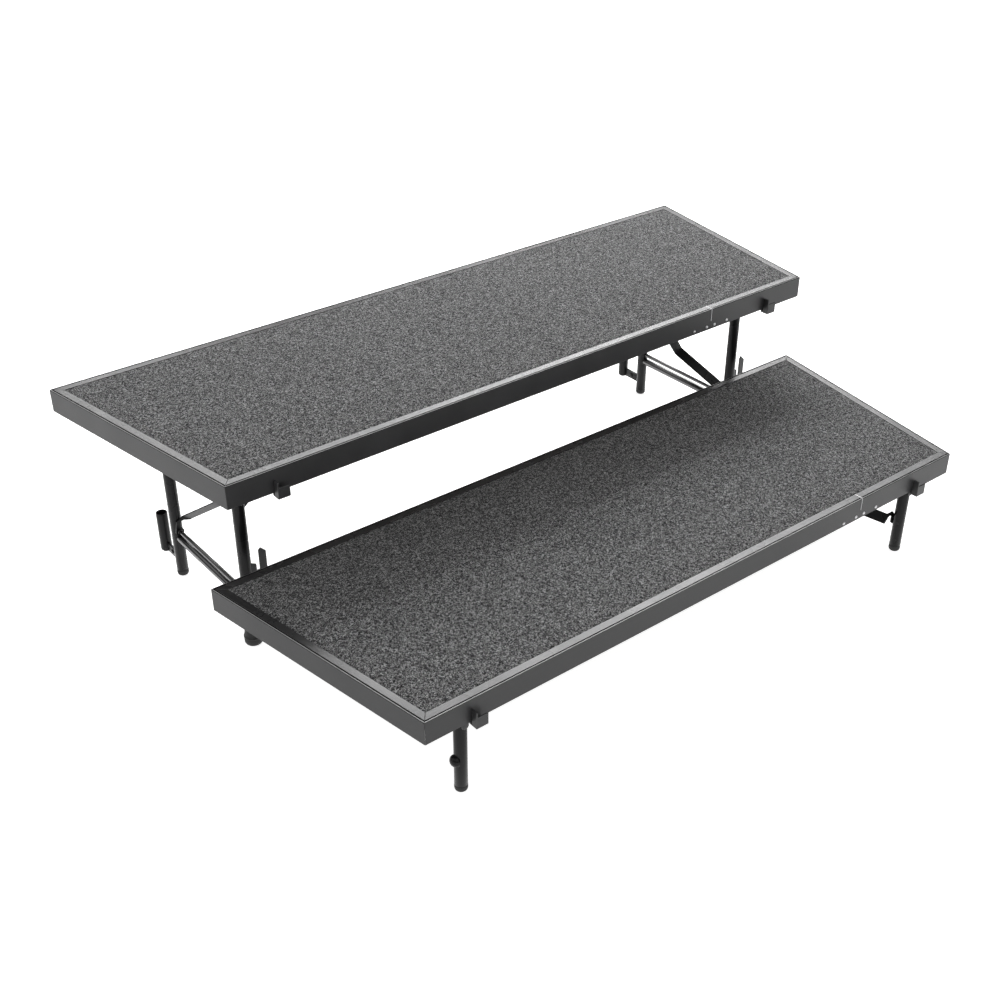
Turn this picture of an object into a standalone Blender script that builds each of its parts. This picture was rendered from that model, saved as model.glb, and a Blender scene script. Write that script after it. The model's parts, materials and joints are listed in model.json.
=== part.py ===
"""Two-level bench riser: two tapered carpeted decks on folding tubular leg frames.

Metres, +Z up. +X runs along the front edges, -Y is the front, the floor is z = 0 and the
origin is the middle of the footprint. Run it in Blender 4.5.
"""

import math
from dataclasses import dataclass

import bmesh
import bpy
from mathutils import Matrix, Vector

# Decks
UPPER_DECK_TOP = 0.4064
LOWER_DECK_TOP = 0.2032
UPPER_REAR_WIDTH = 1.524
LOWER_REAR_WIDTH = 1.420
DECK_DEPTH = 0.490
SIDE_TAPER = 0.0832
DECK_OVERLAP = 0.0356

# Edge rails
RAIL_HEIGHT = 0.0437
RAIL_WALL = 0.0025
LIP_WIDTH = 0.018
LIP_THICKNESS = 0.0025
SHELF_REACH = 0.020
SHELF_THICKNESS = 0.002
GROOVE_INSET = 0.0020
GROOVE_WIDTH = 0.0022
GROOVE_DEPTH = 0.0015
EDGE_BEVEL = 0.0008

# Board and carpet
BOARD_THICKNESS = 0.0127
CARPET_THICKNESS = 0.0035

# Seam of the front rail
SEAM_FROM_CORNER = 0.264
SPLICE_LENGTH = 0.116
SPLICE_HEIGHT = 0.020
SPLICE_BELOW_RIVETS = 0.0067
SPLICE_THICKNESS = 0.003
RIVET_OFFSETS = (-0.046, -0.011, 0.011, 0.046)
RIVET_FROM_BOTTOM = 0.0074
RIVET_SHANK_RADIUS = 0.0018
RIVET_HEAD_RADIUS = 0.0028
RIVET_TOP_RADIUS = 0.0015
RIVET_HEAD_HEIGHT = 0.0014

# Legs
UPPER_LEG_FROM_CORNER = 0.1526
LOWER_LEG_FROM_CORNER = 0.1689
LEG_RADIUS = 0.0111
LEG_WALL = 0.0015
UPPER_FRONT_LEG_INSET = 0.1067
LOWER_FRONT_LEG_INSET = 0.0295
REAR_LEG_INSET = 0.1092
LEG_TOP_OVER_HINGE = 0.012

# Hinges
HINGE_DROP = 0.0635
HINGE_ROD_RADIUS = 0.004
HINGE_ROD_OVERHANG = 0.003
CHANNEL_WIDTH = 0.036
CHANNEL_DEPTH = 0.014
CHANNEL_WALL = 0.0025
CHANNEL_END_INSET = 0.024
EAR_THICKNESS = 0.003
EAR_RADIUS = 0.010

# Diagonal gusset beside one ear of each channel, from the leg's and the hinge's axis
GUSSET_ROOT = 0.006
GUSSET_TOE = 0.0115
GUSSET_ANGLE = 40.0
UPPER_GUSSET_DROP = 0.073
LOWER_GUSSET_DROP = 0.038

# The upper unit's crossbar with the brace rod above it, and the lower unit's short brace pin
UPPER_CROSSBAR_Z = 0.087
LOWER_BRACE_PIN_Z = 0.0645
BRACE_PIN_OVERHANG = 0.003
CROSSBAR_RADIUS = 0.0076
BRACE_ROD_RADIUS = 0.0042
BRACE_ROD_RISE = 0.0175
BAR_END_FROM_AXIS = 0.003

# Strip braces: bends are measured along the strip from its eye, and the step is across it
BRACE_HALF_WIDTH = 0.0105
BRACE_THICKNESS = 0.003
UPPER_BRACE_ANGLE = 56.0
UPPER_BRACE_FIRST_BEND = 0.030
UPPER_BRACE_SECOND_BEND = 0.109
UPPER_BRACE_STEP = 0.0888
LOWER_BRACE_ANGLE = 24.0
LOWER_BRACE_FIRST_BEND = 0.030
LOWER_BRACE_SECOND_BEND = 0.060
LOWER_BRACE_STEP = 0.050
BRACE_TO_LEG_GAP = 0.0005
BRACE_END_GAP = 0.0005

# Low end of a strip brace, along and across it from its eye, notched for the crossbar
EYE_RADIUS = 0.0085
EYE_SWEEP = 250.0
NOTCH_GAP = 0.0005
HEEL_ALONG = 0.016
HEEL_ACROSS = 0.0165
NECK_END = 0.0285

# Foot tips
SLIM_TIP_HEIGHT = 0.012
SLIM_TIP_FLAT_RADIUS = 0.0065
PLUG_LENGTH = 0.018
PLUG_CHAMFER = 0.0006
TOE_STRETCH = 1.2
TOE_STEPS = 5
WIDE_TIP_RADIUS = 0.0175
WIDE_TIP_HEIGHT = 0.034
WIDE_TIP_FLAT_RADIUS = 0.012
WIDE_TIP_FLOOR = 0.009
WIDE_TIP_RING_WIDTH = 0.0015
WIDE_TIP_RING_HEIGHT = 0.004
WIDE_TIP_TOP_RADIUS = 0.0145

# Sockets behind the rear legs of the upper unit
SOCKET_DISTANCE = 0.0635
SOCKET_BOTTOM = 0.0229
SOCKET_HEIGHT = 0.0864
SOCKET_FLOOR = 0.004
SOCKET_FLAT_RADIUS = 0.0055
LINK_HEIGHT = 0.019
LINK_THICKNESS = 0.005
LINK_Z = 0.0356

# Forked plates on the front legs of the upper unit
FORK_THICKNESS = 0.003
FORK_BASE_Z = 0.137
FORK_BASE_HEIGHT = 0.012
FORK_SHORT_REACH = 0.0215
FORK_SHORT_HEIGHT = 0.026
FORK_TALL_START = 0.0280
FORK_TALL_REACH = 0.0425
FORK_TALL_HEIGHT = 0.056
FORK_POINT_DROP = 0.010
FORK_POINT_FROM_START = 0.0048
FORK_SHOULDER_DROP = 0.005

# Hooks on the front rails
HOOK_WIDTH = 0.023
HOOK_REACH = 0.0127
HOOK_PLATE = 0.003
HOOK_LIP_HEIGHT = 0.0213
HOOK_WEB_HEIGHT = 0.0317
HOOK_DROP = 0.0076
HOOK_BACK_HEIGHT = 0.018
UPPER_HOOK_FROM_LEG = 0.0277
LOWER_HOOK_FROM_LEG = 0.0115

# Domed bolt head on the outer side of the lower unit's legs that have no strip brace
BOLT_HEAD_RADIUS = 0.011
BOLT_HEAD_HEIGHT = 0.008

CLEARANCE = 0.0003
OVERCUT = 0.01
MERGE_DISTANCE = 0.00001
ROUND_SIDES = 24
SMALL_SIDES = 12
DOME_RINGS = 8
SMOOTH_ANGLE = 35.0
PIVOT_DISPLAY_SIZE = 0.03

FOOTPRINT_DEPTH = 2 * DECK_DEPTH - DECK_OVERLAP + HOOK_REACH
UP = Vector((0, 0, 1))
RIGHT = Vector((1, 0, 0))
REAR = Vector((0, 1, 0))
INWARD = {"left": 1, "right": -1}
BRACED_END = {"left": "rear", "right": "front"}


@dataclass(frozen=True)
class Unit:
    """One of the two units, with what differs between them."""

    name: str
    deck_top: float
    rear_width: float
    rear_y: float
    leg_from_corner: float
    front_leg_inset: float
    has_crossbar: bool
    brace_rod_z: float
    brace_angle: float
    brace_bends: tuple
    brace_step: float
    hook_from_leg: float
    gusset_drop: float
    wide_front_tips: bool
    linked: bool

    @property
    def leg_x(self):
        return self.rear_width / 2 - self.leg_from_corner

    @property
    def front_y(self):
        return self.rear_y - DECK_DEPTH

    @property
    def rail_bottom(self):
        return self.deck_top - RAIL_HEIGHT

    @property
    def board_top(self):
        return self.deck_top - LIP_THICKNESS - CLEARANCE

    @property
    def board_bottom(self):
        return self.board_top - BOARD_THICKNESS

    @property
    def hinge_z(self):
        return self.deck_top - HINGE_DROP

    @property
    def crossbar_z(self):
        return self.brace_rod_z - BRACE_ROD_RISE

    @property
    def brace_length(self):
        """From the eye to the rounded end, which reaches up to the board."""
        end_z = self.board_bottom - BRACE_END_GAP - BRACE_HALF_WIDTH
        return (end_z - self.brace_rod_z) / math.sin(math.radians(self.brace_angle))

    @property
    def front_leg_y(self):
        return self.front_y + self.front_leg_inset

    @property
    def rear_leg_y(self):
        return self.rear_y - REAR_LEG_INSET

    @property
    def seam_x(self):
        return self.rear_width / 2 - SIDE_TAPER - SEAM_FROM_CORNER

    def bars(self, braced):
        """The heights and radii of what enters a leg: crossbar and brace rod, or the brace pin."""
        rod = (self.brace_rod_z, BRACE_ROD_RADIUS)
        if self.has_crossbar:
            return ((self.crossbar_z, CROSSBAR_RADIUS), rod)
        return (rod,) if braced else ()

    def leg_place_x(self, side):
        return -INWARD[side] * self.leg_x

    def corners(self):
        """Front left, front right, rear right and rear left, seen from above."""
        rear = self.rear_width / 2
        front = rear - SIDE_TAPER
        outline = ((-front, self.front_y), (front, self.front_y), (rear, self.rear_y), (-rear, self.rear_y))
        return [Vector((x, y, 0)) for x, y in outline]


UPPER = Unit(
    name="upper",
    deck_top=UPPER_DECK_TOP,
    rear_width=UPPER_REAR_WIDTH,
    rear_y=FOOTPRINT_DEPTH / 2,
    leg_from_corner=UPPER_LEG_FROM_CORNER,
    front_leg_inset=UPPER_FRONT_LEG_INSET,
    has_crossbar=True,
    brace_rod_z=UPPER_CROSSBAR_Z + BRACE_ROD_RISE,
    brace_angle=UPPER_BRACE_ANGLE,
    brace_bends=(UPPER_BRACE_FIRST_BEND, UPPER_BRACE_SECOND_BEND),
    brace_step=UPPER_BRACE_STEP,
    hook_from_leg=UPPER_HOOK_FROM_LEG,
    gusset_drop=UPPER_GUSSET_DROP,
    wide_front_tips=True,
    linked=True,
)
LOWER = Unit(
    name="lower",
    deck_top=LOWER_DECK_TOP,
    rear_width=LOWER_REAR_WIDTH,
    rear_y=UPPER.front_y + DECK_OVERLAP,
    leg_from_corner=LOWER_LEG_FROM_CORNER,
    front_leg_inset=LOWER_FRONT_LEG_INSET,
    has_crossbar=False,
    brace_rod_z=LOWER_BRACE_PIN_Z,
    brace_angle=LOWER_BRACE_ANGLE,
    brace_bends=(LOWER_BRACE_FIRST_BEND, LOWER_BRACE_SECOND_BEND),
    brace_step=LOWER_BRACE_STEP,
    hook_from_leg=LOWER_HOOK_FROM_LEG,
    gusset_drop=LOWER_GUSSET_DROP,
    wide_front_tips=False,
    linked=False,
)

for leftover in list(bpy.data.objects):
    bpy.data.objects.remove(leftover)
parts = bpy.data.collections.new("bench_riser")
cutters = bpy.data.collections.new("cutters")
for collection in (parts, cutters):
    bpy.context.scene.collection.children.link(collection)


def make_material(name, colour, roughness, metallic):
    material = bpy.data.materials.new(name)
    material.use_nodes = True
    shader = material.node_tree.nodes["Principled BSDF"]
    shader.inputs["Base Color"].default_value = (*colour, 1)
    shader.inputs["Roughness"].default_value = roughness
    shader.inputs["Metallic"].default_value = metallic
    return material


MATERIALS = {
    "frame": make_material("frame_paint", (0.035, 0.035, 0.036), 0.38, 0.0),
    "tube": make_material("gloss_paint", (0.012, 0.012, 0.013), 0.22, 0.0),
    "steel": make_material("zinc_steel", (0.55, 0.55, 0.56), 0.3, 1.0),
    "board": make_material("plywood", (0.42, 0.3, 0.18), 0.7, 0.0),
    "carpet": make_material("carpet_pile", (0.1, 0.1, 0.102), 0.95, 0.0),
    "rubber": make_material("black_rubber", (0.02, 0.02, 0.02), 0.7, 0.0),
}


# Shared modelling steps


def add_object(name, mesh, collection, material=None):
    obj = bpy.data.objects.new(name, mesh)
    collection.objects.link(obj)
    if material:
        mesh.materials.append(MATERIALS[material])
    return obj


def smooth(mesh):
    mesh.shade_smooth()
    mesh.set_sharp_from_angle(angle=math.radians(SMOOTH_ANGLE))


def circle(centre, radius, sides):
    """Points round a circle, with a flat at the bottom."""
    turns = [2 * math.pi * (i + 0.5) / sides for i in range(sides)]
    return [(centre[0] + radius * math.cos(t), centre[1] + radius * math.sin(t)) for t in turns]


def outline_mesh(name, outlines, thickness):
    """A flat plate in local XY, centred on it, from an outline and the outlines of its holes."""
    curve = bpy.data.curves.new(name, "CURVE")
    curve.dimensions = "2D"
    curve.fill_mode = "BOTH"
    curve.extrude = thickness / 2
    for outline in outlines:
        spline = curve.splines.new("POLY")
        spline.points.add(len(outline) - 1)
        for point, (x, y) in zip(spline.points, outline):
            point.co = (x, y, 0, 1)
        spline.use_cyclic_u = True
    guide = bpy.data.objects.new(name, curve)
    cutters.objects.link(guide)
    graph = bpy.context.evaluated_depsgraph_get()
    mesh = bpy.data.meshes.new_from_object(guide.evaluated_get(graph))
    bpy.data.objects.remove(guide)
    bpy.data.curves.remove(curve)
    mesh.name = name
    form = bmesh.new()
    form.from_mesh(mesh)
    bmesh.ops.remove_doubles(form, verts=form.verts, dist=MERGE_DISTANCE)
    bmesh.ops.recalc_face_normals(form, faces=form.faces)
    form.to_mesh(mesh)
    form.free()
    return mesh


def axes(first, second, third, place):
    """The matrix that sends local X, Y and Z to these directions, at this place."""
    turned = Matrix((first, second, third)).transposed().to_4x4()
    return Matrix.Translation(place) @ turned


def across(y):
    """Sends local XY to an upright plane that faces the front, at this depth."""
    return axes(RIGHT, UP, -REAR, (0, y, 0))


def cylinder_mesh(name, start, end, radius, sides=ROUND_SIDES):
    start, end = Vector(start), Vector(end)
    along = end - start
    form = bmesh.new()
    size = {"radius1": radius, "radius2": radius, "depth": along.length}
    bmesh.ops.create_cone(form, cap_ends=True, segments=sides, **size)
    turned = UP.rotation_difference(along).to_matrix().to_4x4()
    form.transform(Matrix.Translation((start + end) / 2) @ turned)
    mesh = bpy.data.meshes.new(name)
    form.to_mesh(mesh)
    form.free()
    return mesh


def box_mesh(name, low, high):
    low, high = Vector(low), Vector(high)
    form = bmesh.new()
    bmesh.ops.create_cube(form, size=1)
    size = high - low
    form.transform(Matrix.Translation((low + high) / 2) @ Matrix.Diagonal((*size, 1)))
    mesh = bpy.data.meshes.new(name)
    form.to_mesh(mesh)
    form.free()
    return mesh


def combine(obj, meshes, operation):
    """Joins these meshes to the object, or cuts them out of it."""
    for mesh in meshes:
        helper = add_object(f"{obj.name}_{operation.lower()}", mesh, cutters)
        helper.hide_render = True
        helper.display_type = "WIRE"
        step = obj.modifiers.new(operation.capitalize(), "BOOLEAN")
        step.operation = operation
        step.solver = "EXACT"
        step.object = helper


def fuse(obj, *meshes):
    combine(obj, meshes, "UNION")


def cut(obj, *meshes):
    combine(obj, meshes, "DIFFERENCE")


def hang(obj, pivot):
    """Parents an object to its pivot and leaves it where it is."""
    bpy.context.view_layer.update()
    obj.parent = pivot
    obj.matrix_parent_inverse = pivot.matrix_world.inverted()


def make_pivot(name, place, parent=None):
    pivot = bpy.data.objects.new(name, None)
    parts.objects.link(pivot)
    pivot.empty_display_size = PIVOT_DISPLAY_SIZE
    pivot.location = place
    if parent:
        hang(pivot, parent)
    return pivot


def turned_solid(name, profile, place, material):
    """A profile of (radius, height) points, turned about the upright axis through a place."""
    mesh = bpy.data.meshes.new(name)
    edges = [(i, i + 1) for i in range(len(profile) - 1)]
    mesh.from_pydata([(radius, 0, height) for radius, height in profile], edges, [])
    obj = add_object(name, mesh, parts, material)
    obj.location = place
    screw = obj.modifiers.new("Turn", "SCREW")
    screw.steps = ROUND_SIDES
    screw.render_steps = ROUND_SIDES
    screw.use_merge_vertices = True
    screw.merge_threshold = MERGE_DISTANCE
    return obj


# Deck


def inset(corners, distance):
    """The outline moved inward by a distance, with its mitres kept."""
    lines = []
    for i, start in enumerate(corners):
        along = (corners[(i + 1) % len(corners)] - start).normalized()
        lines.append((start + distance * UP.cross(along), along))
    moved = []
    for i, (start, along) in enumerate(lines):
        before, before_along = lines[i - 1]
        inward = UP.cross(along)
        reach = (start - before).dot(inward) / before_along.dot(inward)
        moved.append(before + reach * before_along)
    return moved


def rail_profile():
    """Outer wall, top lip with a groove near its edge, and a shelf under the board."""
    under_lip = -LIP_THICKNESS
    shelf_top = under_lip - BOARD_THICKNESS - 2 * CLEARANCE
    shelf_bottom = shelf_top - SHELF_THICKNESS
    groove_end = GROOVE_INSET + GROOVE_WIDTH
    return [
        (0, -EDGE_BEVEL),
        (EDGE_BEVEL, 0),
        (GROOVE_INSET, 0),
        (GROOVE_INSET, -GROOVE_DEPTH),
        (groove_end, -GROOVE_DEPTH),
        (groove_end, 0),
        (LIP_WIDTH, 0),
        (LIP_WIDTH, under_lip),
        (RAIL_WALL, under_lip),
        (RAIL_WALL, shelf_top),
        (SHELF_REACH, shelf_top),
        (SHELF_REACH, shelf_bottom),
        (RAIL_WALL, shelf_bottom),
        (RAIL_WALL, -RAIL_HEIGHT),
        (0, -RAIL_HEIGHT),
    ]


def trim(form, place, outward):
    """Cuts off what lies past an upright plane and closes the cut."""
    cut_geometry = bmesh.ops.bisect_plane(
        form,
        geom=[*form.verts, *form.edges, *form.faces],
        plane_co=place,
        plane_no=outward,
        clear_outer=True,
    )["geom_cut"]
    edges = [item for item in cut_geometry if isinstance(item, bmesh.types.BMEdge)]
    bmesh.ops.edgeloop_fill(form, edges=edges)


def mitre(corners, index):
    """The upright mitre plane at a corner: a point on it, and its normal along the next side."""
    before = (corners[index] - corners[index - 1]).normalized()
    after = (corners[(index + 1) % 4] - corners[index]).normalized()
    return corners[index], (before + after).normalized()


def make_rail(unit, name, side, left_trim=None, right_trim=None):
    """A length of rail along one side of the deck, cut at its mitres or at the given planes."""
    corners = unit.corners()
    start, end = corners[side], corners[(side + 1) % 4]
    along = (end - start).normalized()
    reach = (end - start).length + 2 * OVERCUT
    mesh = outline_mesh(name, [rail_profile()], reach)
    middle = (start + end) / 2 + unit.deck_top * UP
    mesh.transform(axes(UP.cross(along), UP, along, middle))
    first, first_normal = left_trim or mitre(corners, side)
    last, last_normal = right_trim or mitre(corners, (side + 1) % 4)
    half_gap = CLEARANCE / 2
    form = bmesh.new()
    form.from_mesh(mesh)
    trim(form, first + half_gap * first_normal, -first_normal)
    trim(form, last - half_gap * last_normal, last_normal)
    bmesh.ops.recalc_face_normals(form, faces=form.faces)
    form.to_mesh(mesh)
    form.free()
    return add_object(f"{unit.name}_{name}", mesh, parts, "frame")


def rivet_places(unit):
    height = unit.rail_bottom + RIVET_FROM_BOTTOM
    return [Vector((unit.seam_x + offset, unit.front_y, height)) for offset in RIVET_OFFSETS]


def rivet_holes(unit, places):
    """Cutters for the rivets' clearance holes through the front wall."""
    reach = (RAIL_WALL + OVERCUT) * REAR
    radius = RIVET_SHANK_RADIUS + CLEARANCE
    back = OVERCUT * REAR
    return [cylinder_mesh("rivet_hole", at - back, at + reach, radius, SMALL_SIDES) for at in places]


def turned_mesh(name, profile, root, along):
    """A profile of (radius, height) points, turned about an axis through a root."""
    form = bmesh.new()
    points = [form.verts.new((radius, 0, height)) for radius, height in profile]
    edges = [form.edges.new(pair) for pair in zip(points, points[1:])]
    turn = 2 * math.pi
    bmesh.ops.spin(form, geom=[*points, *edges], axis=UP, angle=turn, steps=SMALL_SIDES, use_merge=True)
    bmesh.ops.remove_doubles(form, verts=form.verts, dist=MERGE_DISTANCE)
    bmesh.ops.recalc_face_normals(form, faces=form.faces)
    form.transform(Matrix.Translation(root) @ UP.rotation_difference(along).to_matrix().to_4x4())
    mesh = bpy.data.meshes.new(name)
    form.to_mesh(mesh)
    form.free()
    return mesh


def rivet(at):
    """A rivet with a bevelled head, from inside the splice plate out through the rail's wall."""
    root_depth = RAIL_WALL + CLEARANCE + SPLICE_THICKNESS / 2
    head_low = root_depth + CLEARANCE
    head_high = head_low + RIVET_HEAD_HEIGHT
    profile = [
        (0, 0),
        (RIVET_SHANK_RADIUS, 0),
        (RIVET_SHANK_RADIUS, head_low),
        (RIVET_HEAD_RADIUS, head_low),
        (RIVET_TOP_RADIUS, head_high),
        (0, head_high),
    ]
    return turned_mesh("rivet", profile, at + root_depth * REAR, -REAR)


def make_deck(unit, pivot):
    seam = (Vector((unit.seam_x, unit.front_y, 0)), RIGHT)
    long_rail = make_rail(unit, "front_rail_long", 0, right_trim=seam)
    short_rail = make_rail(unit, "front_rail_short", 0, left_trim=seam)
    right_rail = make_rail(unit, "right_end_rail", 1)
    rear_rail = make_rail(unit, "rear_rail", 2)
    left_rail = make_rail(unit, "left_end_rail", 3)
    places = rivet_places(unit)
    cut(long_rail, *rivet_holes(unit, [at for at in places if at.x < unit.seam_x]))
    cut(short_rail, *rivet_holes(unit, [at for at in places if at.x > unit.seam_x]))

    board_edge = inset(unit.corners(), RAIL_WALL + CLEARANCE)
    board = outline_mesh("board", [[corner.xy for corner in board_edge]], BOARD_THICKNESS)
    board.transform(Matrix.Translation((unit.board_top - BOARD_THICKNESS / 2) * UP))
    deck_board = add_object(f"{unit.name}_deck_board", board, parts, "board")

    carpet_edge = inset(unit.corners(), LIP_WIDTH + CLEARANCE)
    carpet = outline_mesh("carpet", [[corner.xy for corner in carpet_edge]], CARPET_THICKNESS)
    carpet.transform(Matrix.Translation((unit.board_top + CLEARANCE + CARPET_THICKNESS / 2) * UP))
    deck_carpet = add_object(f"{unit.name}_deck_carpet", carpet, parts, "carpet")

    splice_front = unit.front_y + RAIL_WALL + CLEARANCE
    splice_low = unit.rail_bottom + RIVET_FROM_BOTTOM - SPLICE_BELOW_RIVETS
    plate = box_mesh(
        "splice",
        (unit.seam_x - SPLICE_LENGTH / 2, splice_front, splice_low),
        (unit.seam_x + SPLICE_LENGTH / 2, splice_front + SPLICE_THICKNESS, splice_low + SPLICE_HEIGHT),
    )
    splice = add_object(f"{unit.name}_splice_plate", plate, parts, "steel")
    fuse(splice, *[rivet(at) for at in places])
    for obj in (long_rail, short_rail, right_rail, rear_rail, left_rail, deck_board, deck_carpet, splice):
        hang(obj, pivot)


# Hooks


def make_hook(unit, side, pivot):
    """A J-shaped hook under and in front of the front rail."""
    centre = unit.leg_place_x(side) + INWARD[side] * unit.hook_from_leg
    low_x, high_x = centre - HOOK_WIDTH / 2, centre + HOOK_WIDTH / 2
    bottom = unit.rail_bottom - HOOK_DROP
    front = unit.front_y - HOOK_REACH
    back = unit.front_y + RAIL_WALL + CLEARANCE
    sole = box_mesh("sole", (low_x, front, bottom), (high_x, back + HOOK_PLATE, bottom + HOOK_PLATE))
    lip = box_mesh("lip", (low_x, front, bottom), (high_x, front + HOOK_PLATE, bottom + HOOK_LIP_HEIGHT))
    web = box_mesh(
        "web",
        (low_x, front, bottom),
        (low_x + HOOK_PLATE, unit.front_y - CLEARANCE, bottom + HOOK_WEB_HEIGHT),
    )
    back_top = unit.rail_bottom + HOOK_BACK_HEIGHT
    plate = box_mesh("back", (low_x, back, bottom), (high_x, back + HOOK_PLATE, back_top))
    hook = add_object(f"{unit.name}_{side}_front_hook", sole, parts, "frame")
    fuse(hook, lip, web, plate)
    hang(hook, pivot)


# Leg frames


def foot_profile(unit, front):
    """The turned profile of a foot tip, and the height at which the leg's tube starts."""
    bore = LEG_RADIUS - LEG_WALL - CLEARANCE
    if front and unit.wide_front_tips:
        ring_top = WIDE_TIP_HEIGHT / 2 + WIDE_TIP_RING_HEIGHT / 2
        ring_low = ring_top - WIDE_TIP_RING_HEIGHT
        outer = WIDE_TIP_RADIUS
        body = outer - WIDE_TIP_RING_WIDTH
        profile = [
            (0, WIDE_TIP_FLOOR),
            (LEG_RADIUS + CLEARANCE, WIDE_TIP_FLOOR),
            (LEG_RADIUS + CLEARANCE, WIDE_TIP_HEIGHT),
            (WIDE_TIP_TOP_RADIUS, WIDE_TIP_HEIGHT),
            (body, ring_top + WIDE_TIP_RING_WIDTH),
            (outer, ring_top),
            (outer, ring_low),
        ]
        profile += rounded_toe(outer, WIDE_TIP_FLAT_RADIUS)
        return profile, WIDE_TIP_FLOOR + CLEARANCE
    profile = [
        (0, SLIM_TIP_HEIGHT + PLUG_LENGTH),
        (bore - PLUG_CHAMFER, SLIM_TIP_HEIGHT + PLUG_LENGTH),
        (bore, SLIM_TIP_HEIGHT + PLUG_LENGTH - PLUG_CHAMFER),
        (bore, SLIM_TIP_HEIGHT),
        (LEG_RADIUS, SLIM_TIP_HEIGHT),
    ]
    profile += rounded_toe(LEG_RADIUS, SLIM_TIP_FLAT_RADIUS)
    return profile, SLIM_TIP_HEIGHT + CLEARANCE


def rounded_toe(radius, flat):
    """A quarter ellipse from the side down to the flat sole."""
    height = (radius - flat) * TOE_STRETCH
    points = []
    for i in range(TOE_STEPS + 1):
        turn = math.pi / 2 * i / TOE_STEPS
        points.append((flat + (radius - flat) * math.cos(turn), height * (1 - math.sin(turn))))
    return [*points, (0, 0)]


def make_tube(name, place, low, high):
    """An upright hollow tube."""
    rings = [
        circle((0, 0), LEG_RADIUS, ROUND_SIDES),
        circle((0, 0), LEG_RADIUS - LEG_WALL, ROUND_SIDES),
    ]
    mesh = outline_mesh(name, rings, high - low)
    mesh.transform(Matrix.Translation((*place, (low + high) / 2)))
    smooth(mesh)
    return add_object(name, mesh, parts, "tube")


def eye_outline(centre, radius, start):
    """A strap end: from two start points, round a centre, in the order of the outline."""
    centre = Vector(centre)
    first, last = Vector(start[0]), Vector(start[1])
    away = (centre - (first + last) / 2).normalized()
    side = (first - last).normalized()
    steps = SMALL_SIDES // 2
    points = [tuple(first)]
    for i in range(steps + 1):
        turn = math.pi * i / steps
        points.append(tuple(centre + radius * (side * math.cos(turn) + away * math.sin(turn))))
    return [*points, tuple(last)]


def make_leg(unit, side, end, pivot):
    """A leg tube with its hinge hole, and holes in its inner wall for the crossbar and the rod."""
    inward = INWARD[side]
    x = unit.leg_place_x(side)
    front = end == "front"
    y = unit.front_leg_y if front else unit.rear_leg_y
    towards_middle = 1 if front else -1
    profile, tube_low = foot_profile(unit, front)
    leg = make_tube(f"{unit.name}_{side}_{end}_leg", (x, y), tube_low, unit.hinge_z + LEG_TOP_OVER_HINGE)

    if end != BRACED_END[side] and not unit.linked:
        outer = x - inward * (LEG_RADIUS - LEG_WALL / 2)
        tip = outer - inward * (BOLT_HEAD_HEIGHT + LEG_WALL / 2)
        fuse(leg, bolt_head(Vector((outer, y, unit.brace_rod_z)), Vector((tip, y, unit.brace_rod_z))))

    spread = (LEG_RADIUS + OVERCUT) * REAR
    hinge = Vector((x, y, unit.hinge_z))
    bore = HINGE_ROD_RADIUS + CLEARANCE
    cut(leg, cylinder_mesh("hinge_hole", hinge - spread, hinge + spread, bore, SMALL_SIDES))
    for height, radius in unit.bars(end == BRACED_END[side]):
        axis = Vector((x, y, height))
        cut(leg, cylinder_mesh("bar_hole", axis, axis + towards_middle * spread, radius + CLEARANCE))

    tip_name = f"{unit.name}_{side}_{end}_foot_tip"
    tip = turned_solid(tip_name, profile, (x, y, 0), "rubber")
    for obj in (leg, tip):
        hang(obj, pivot)


def bolt_head(root, tip):
    """A dome from its root on the leg to its tip."""
    along = tip - root
    form = bmesh.new()
    bmesh.ops.create_uvsphere(form, u_segments=SMALL_SIDES, v_segments=DOME_RINGS, radius=1)
    squash = Matrix.Diagonal((BOLT_HEAD_RADIUS, BOLT_HEAD_RADIUS, along.length, 1))
    turned = UP.rotation_difference(along).to_matrix().to_4x4()
    form.transform(Matrix.Translation(root) @ turned @ squash)
    trim(form, root, -along.normalized())
    bmesh.ops.recalc_face_normals(form, faces=form.faces)
    mesh = bpy.data.meshes.new("bolt_head")
    form.to_mesh(mesh)
    form.free()
    return mesh


def make_bars(unit, side, pivot):
    """The crossbar and the brace rod above it, which both end inside the legs."""
    x = unit.leg_place_x(side)
    low_y = unit.front_leg_y + BAR_END_FROM_AXIS
    high_y = unit.rear_leg_y - BAR_END_FROM_AXIS
    for name, (height, radius) in zip(("crossbar", "brace_rod"), unit.bars(True)):
        bar = cylinder_mesh(name, (x, low_y, height), (x, high_y, height), radius)
        smooth(bar)
        hang(add_object(f"{unit.name}_{side}_{name}", bar, parts, "tube"), pivot)


def make_pin(unit, side, pivot):
    """The short pin in one leg that the strip brace turns on."""
    x = unit.leg_place_x(side)
    at_front = BRACED_END[side] == "front"
    leg_y = unit.front_leg_y if at_front else unit.rear_leg_y
    towards_middle = 1 if at_front else -1
    reach = LEG_RADIUS + BRACE_TO_LEG_GAP + BRACE_THICKNESS + BRACE_PIN_OVERHANG
    start = (x, leg_y + towards_middle * BAR_END_FROM_AXIS, unit.brace_rod_z)
    end = (x, leg_y + towards_middle * reach, unit.brace_rod_z)
    pin = cylinder_mesh("brace_pin", start, end, BRACE_ROD_RADIUS)
    smooth(pin)
    hang(add_object(f"{unit.name}_{side}_brace_pin", pin, parts, "tube"), pivot)


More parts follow.
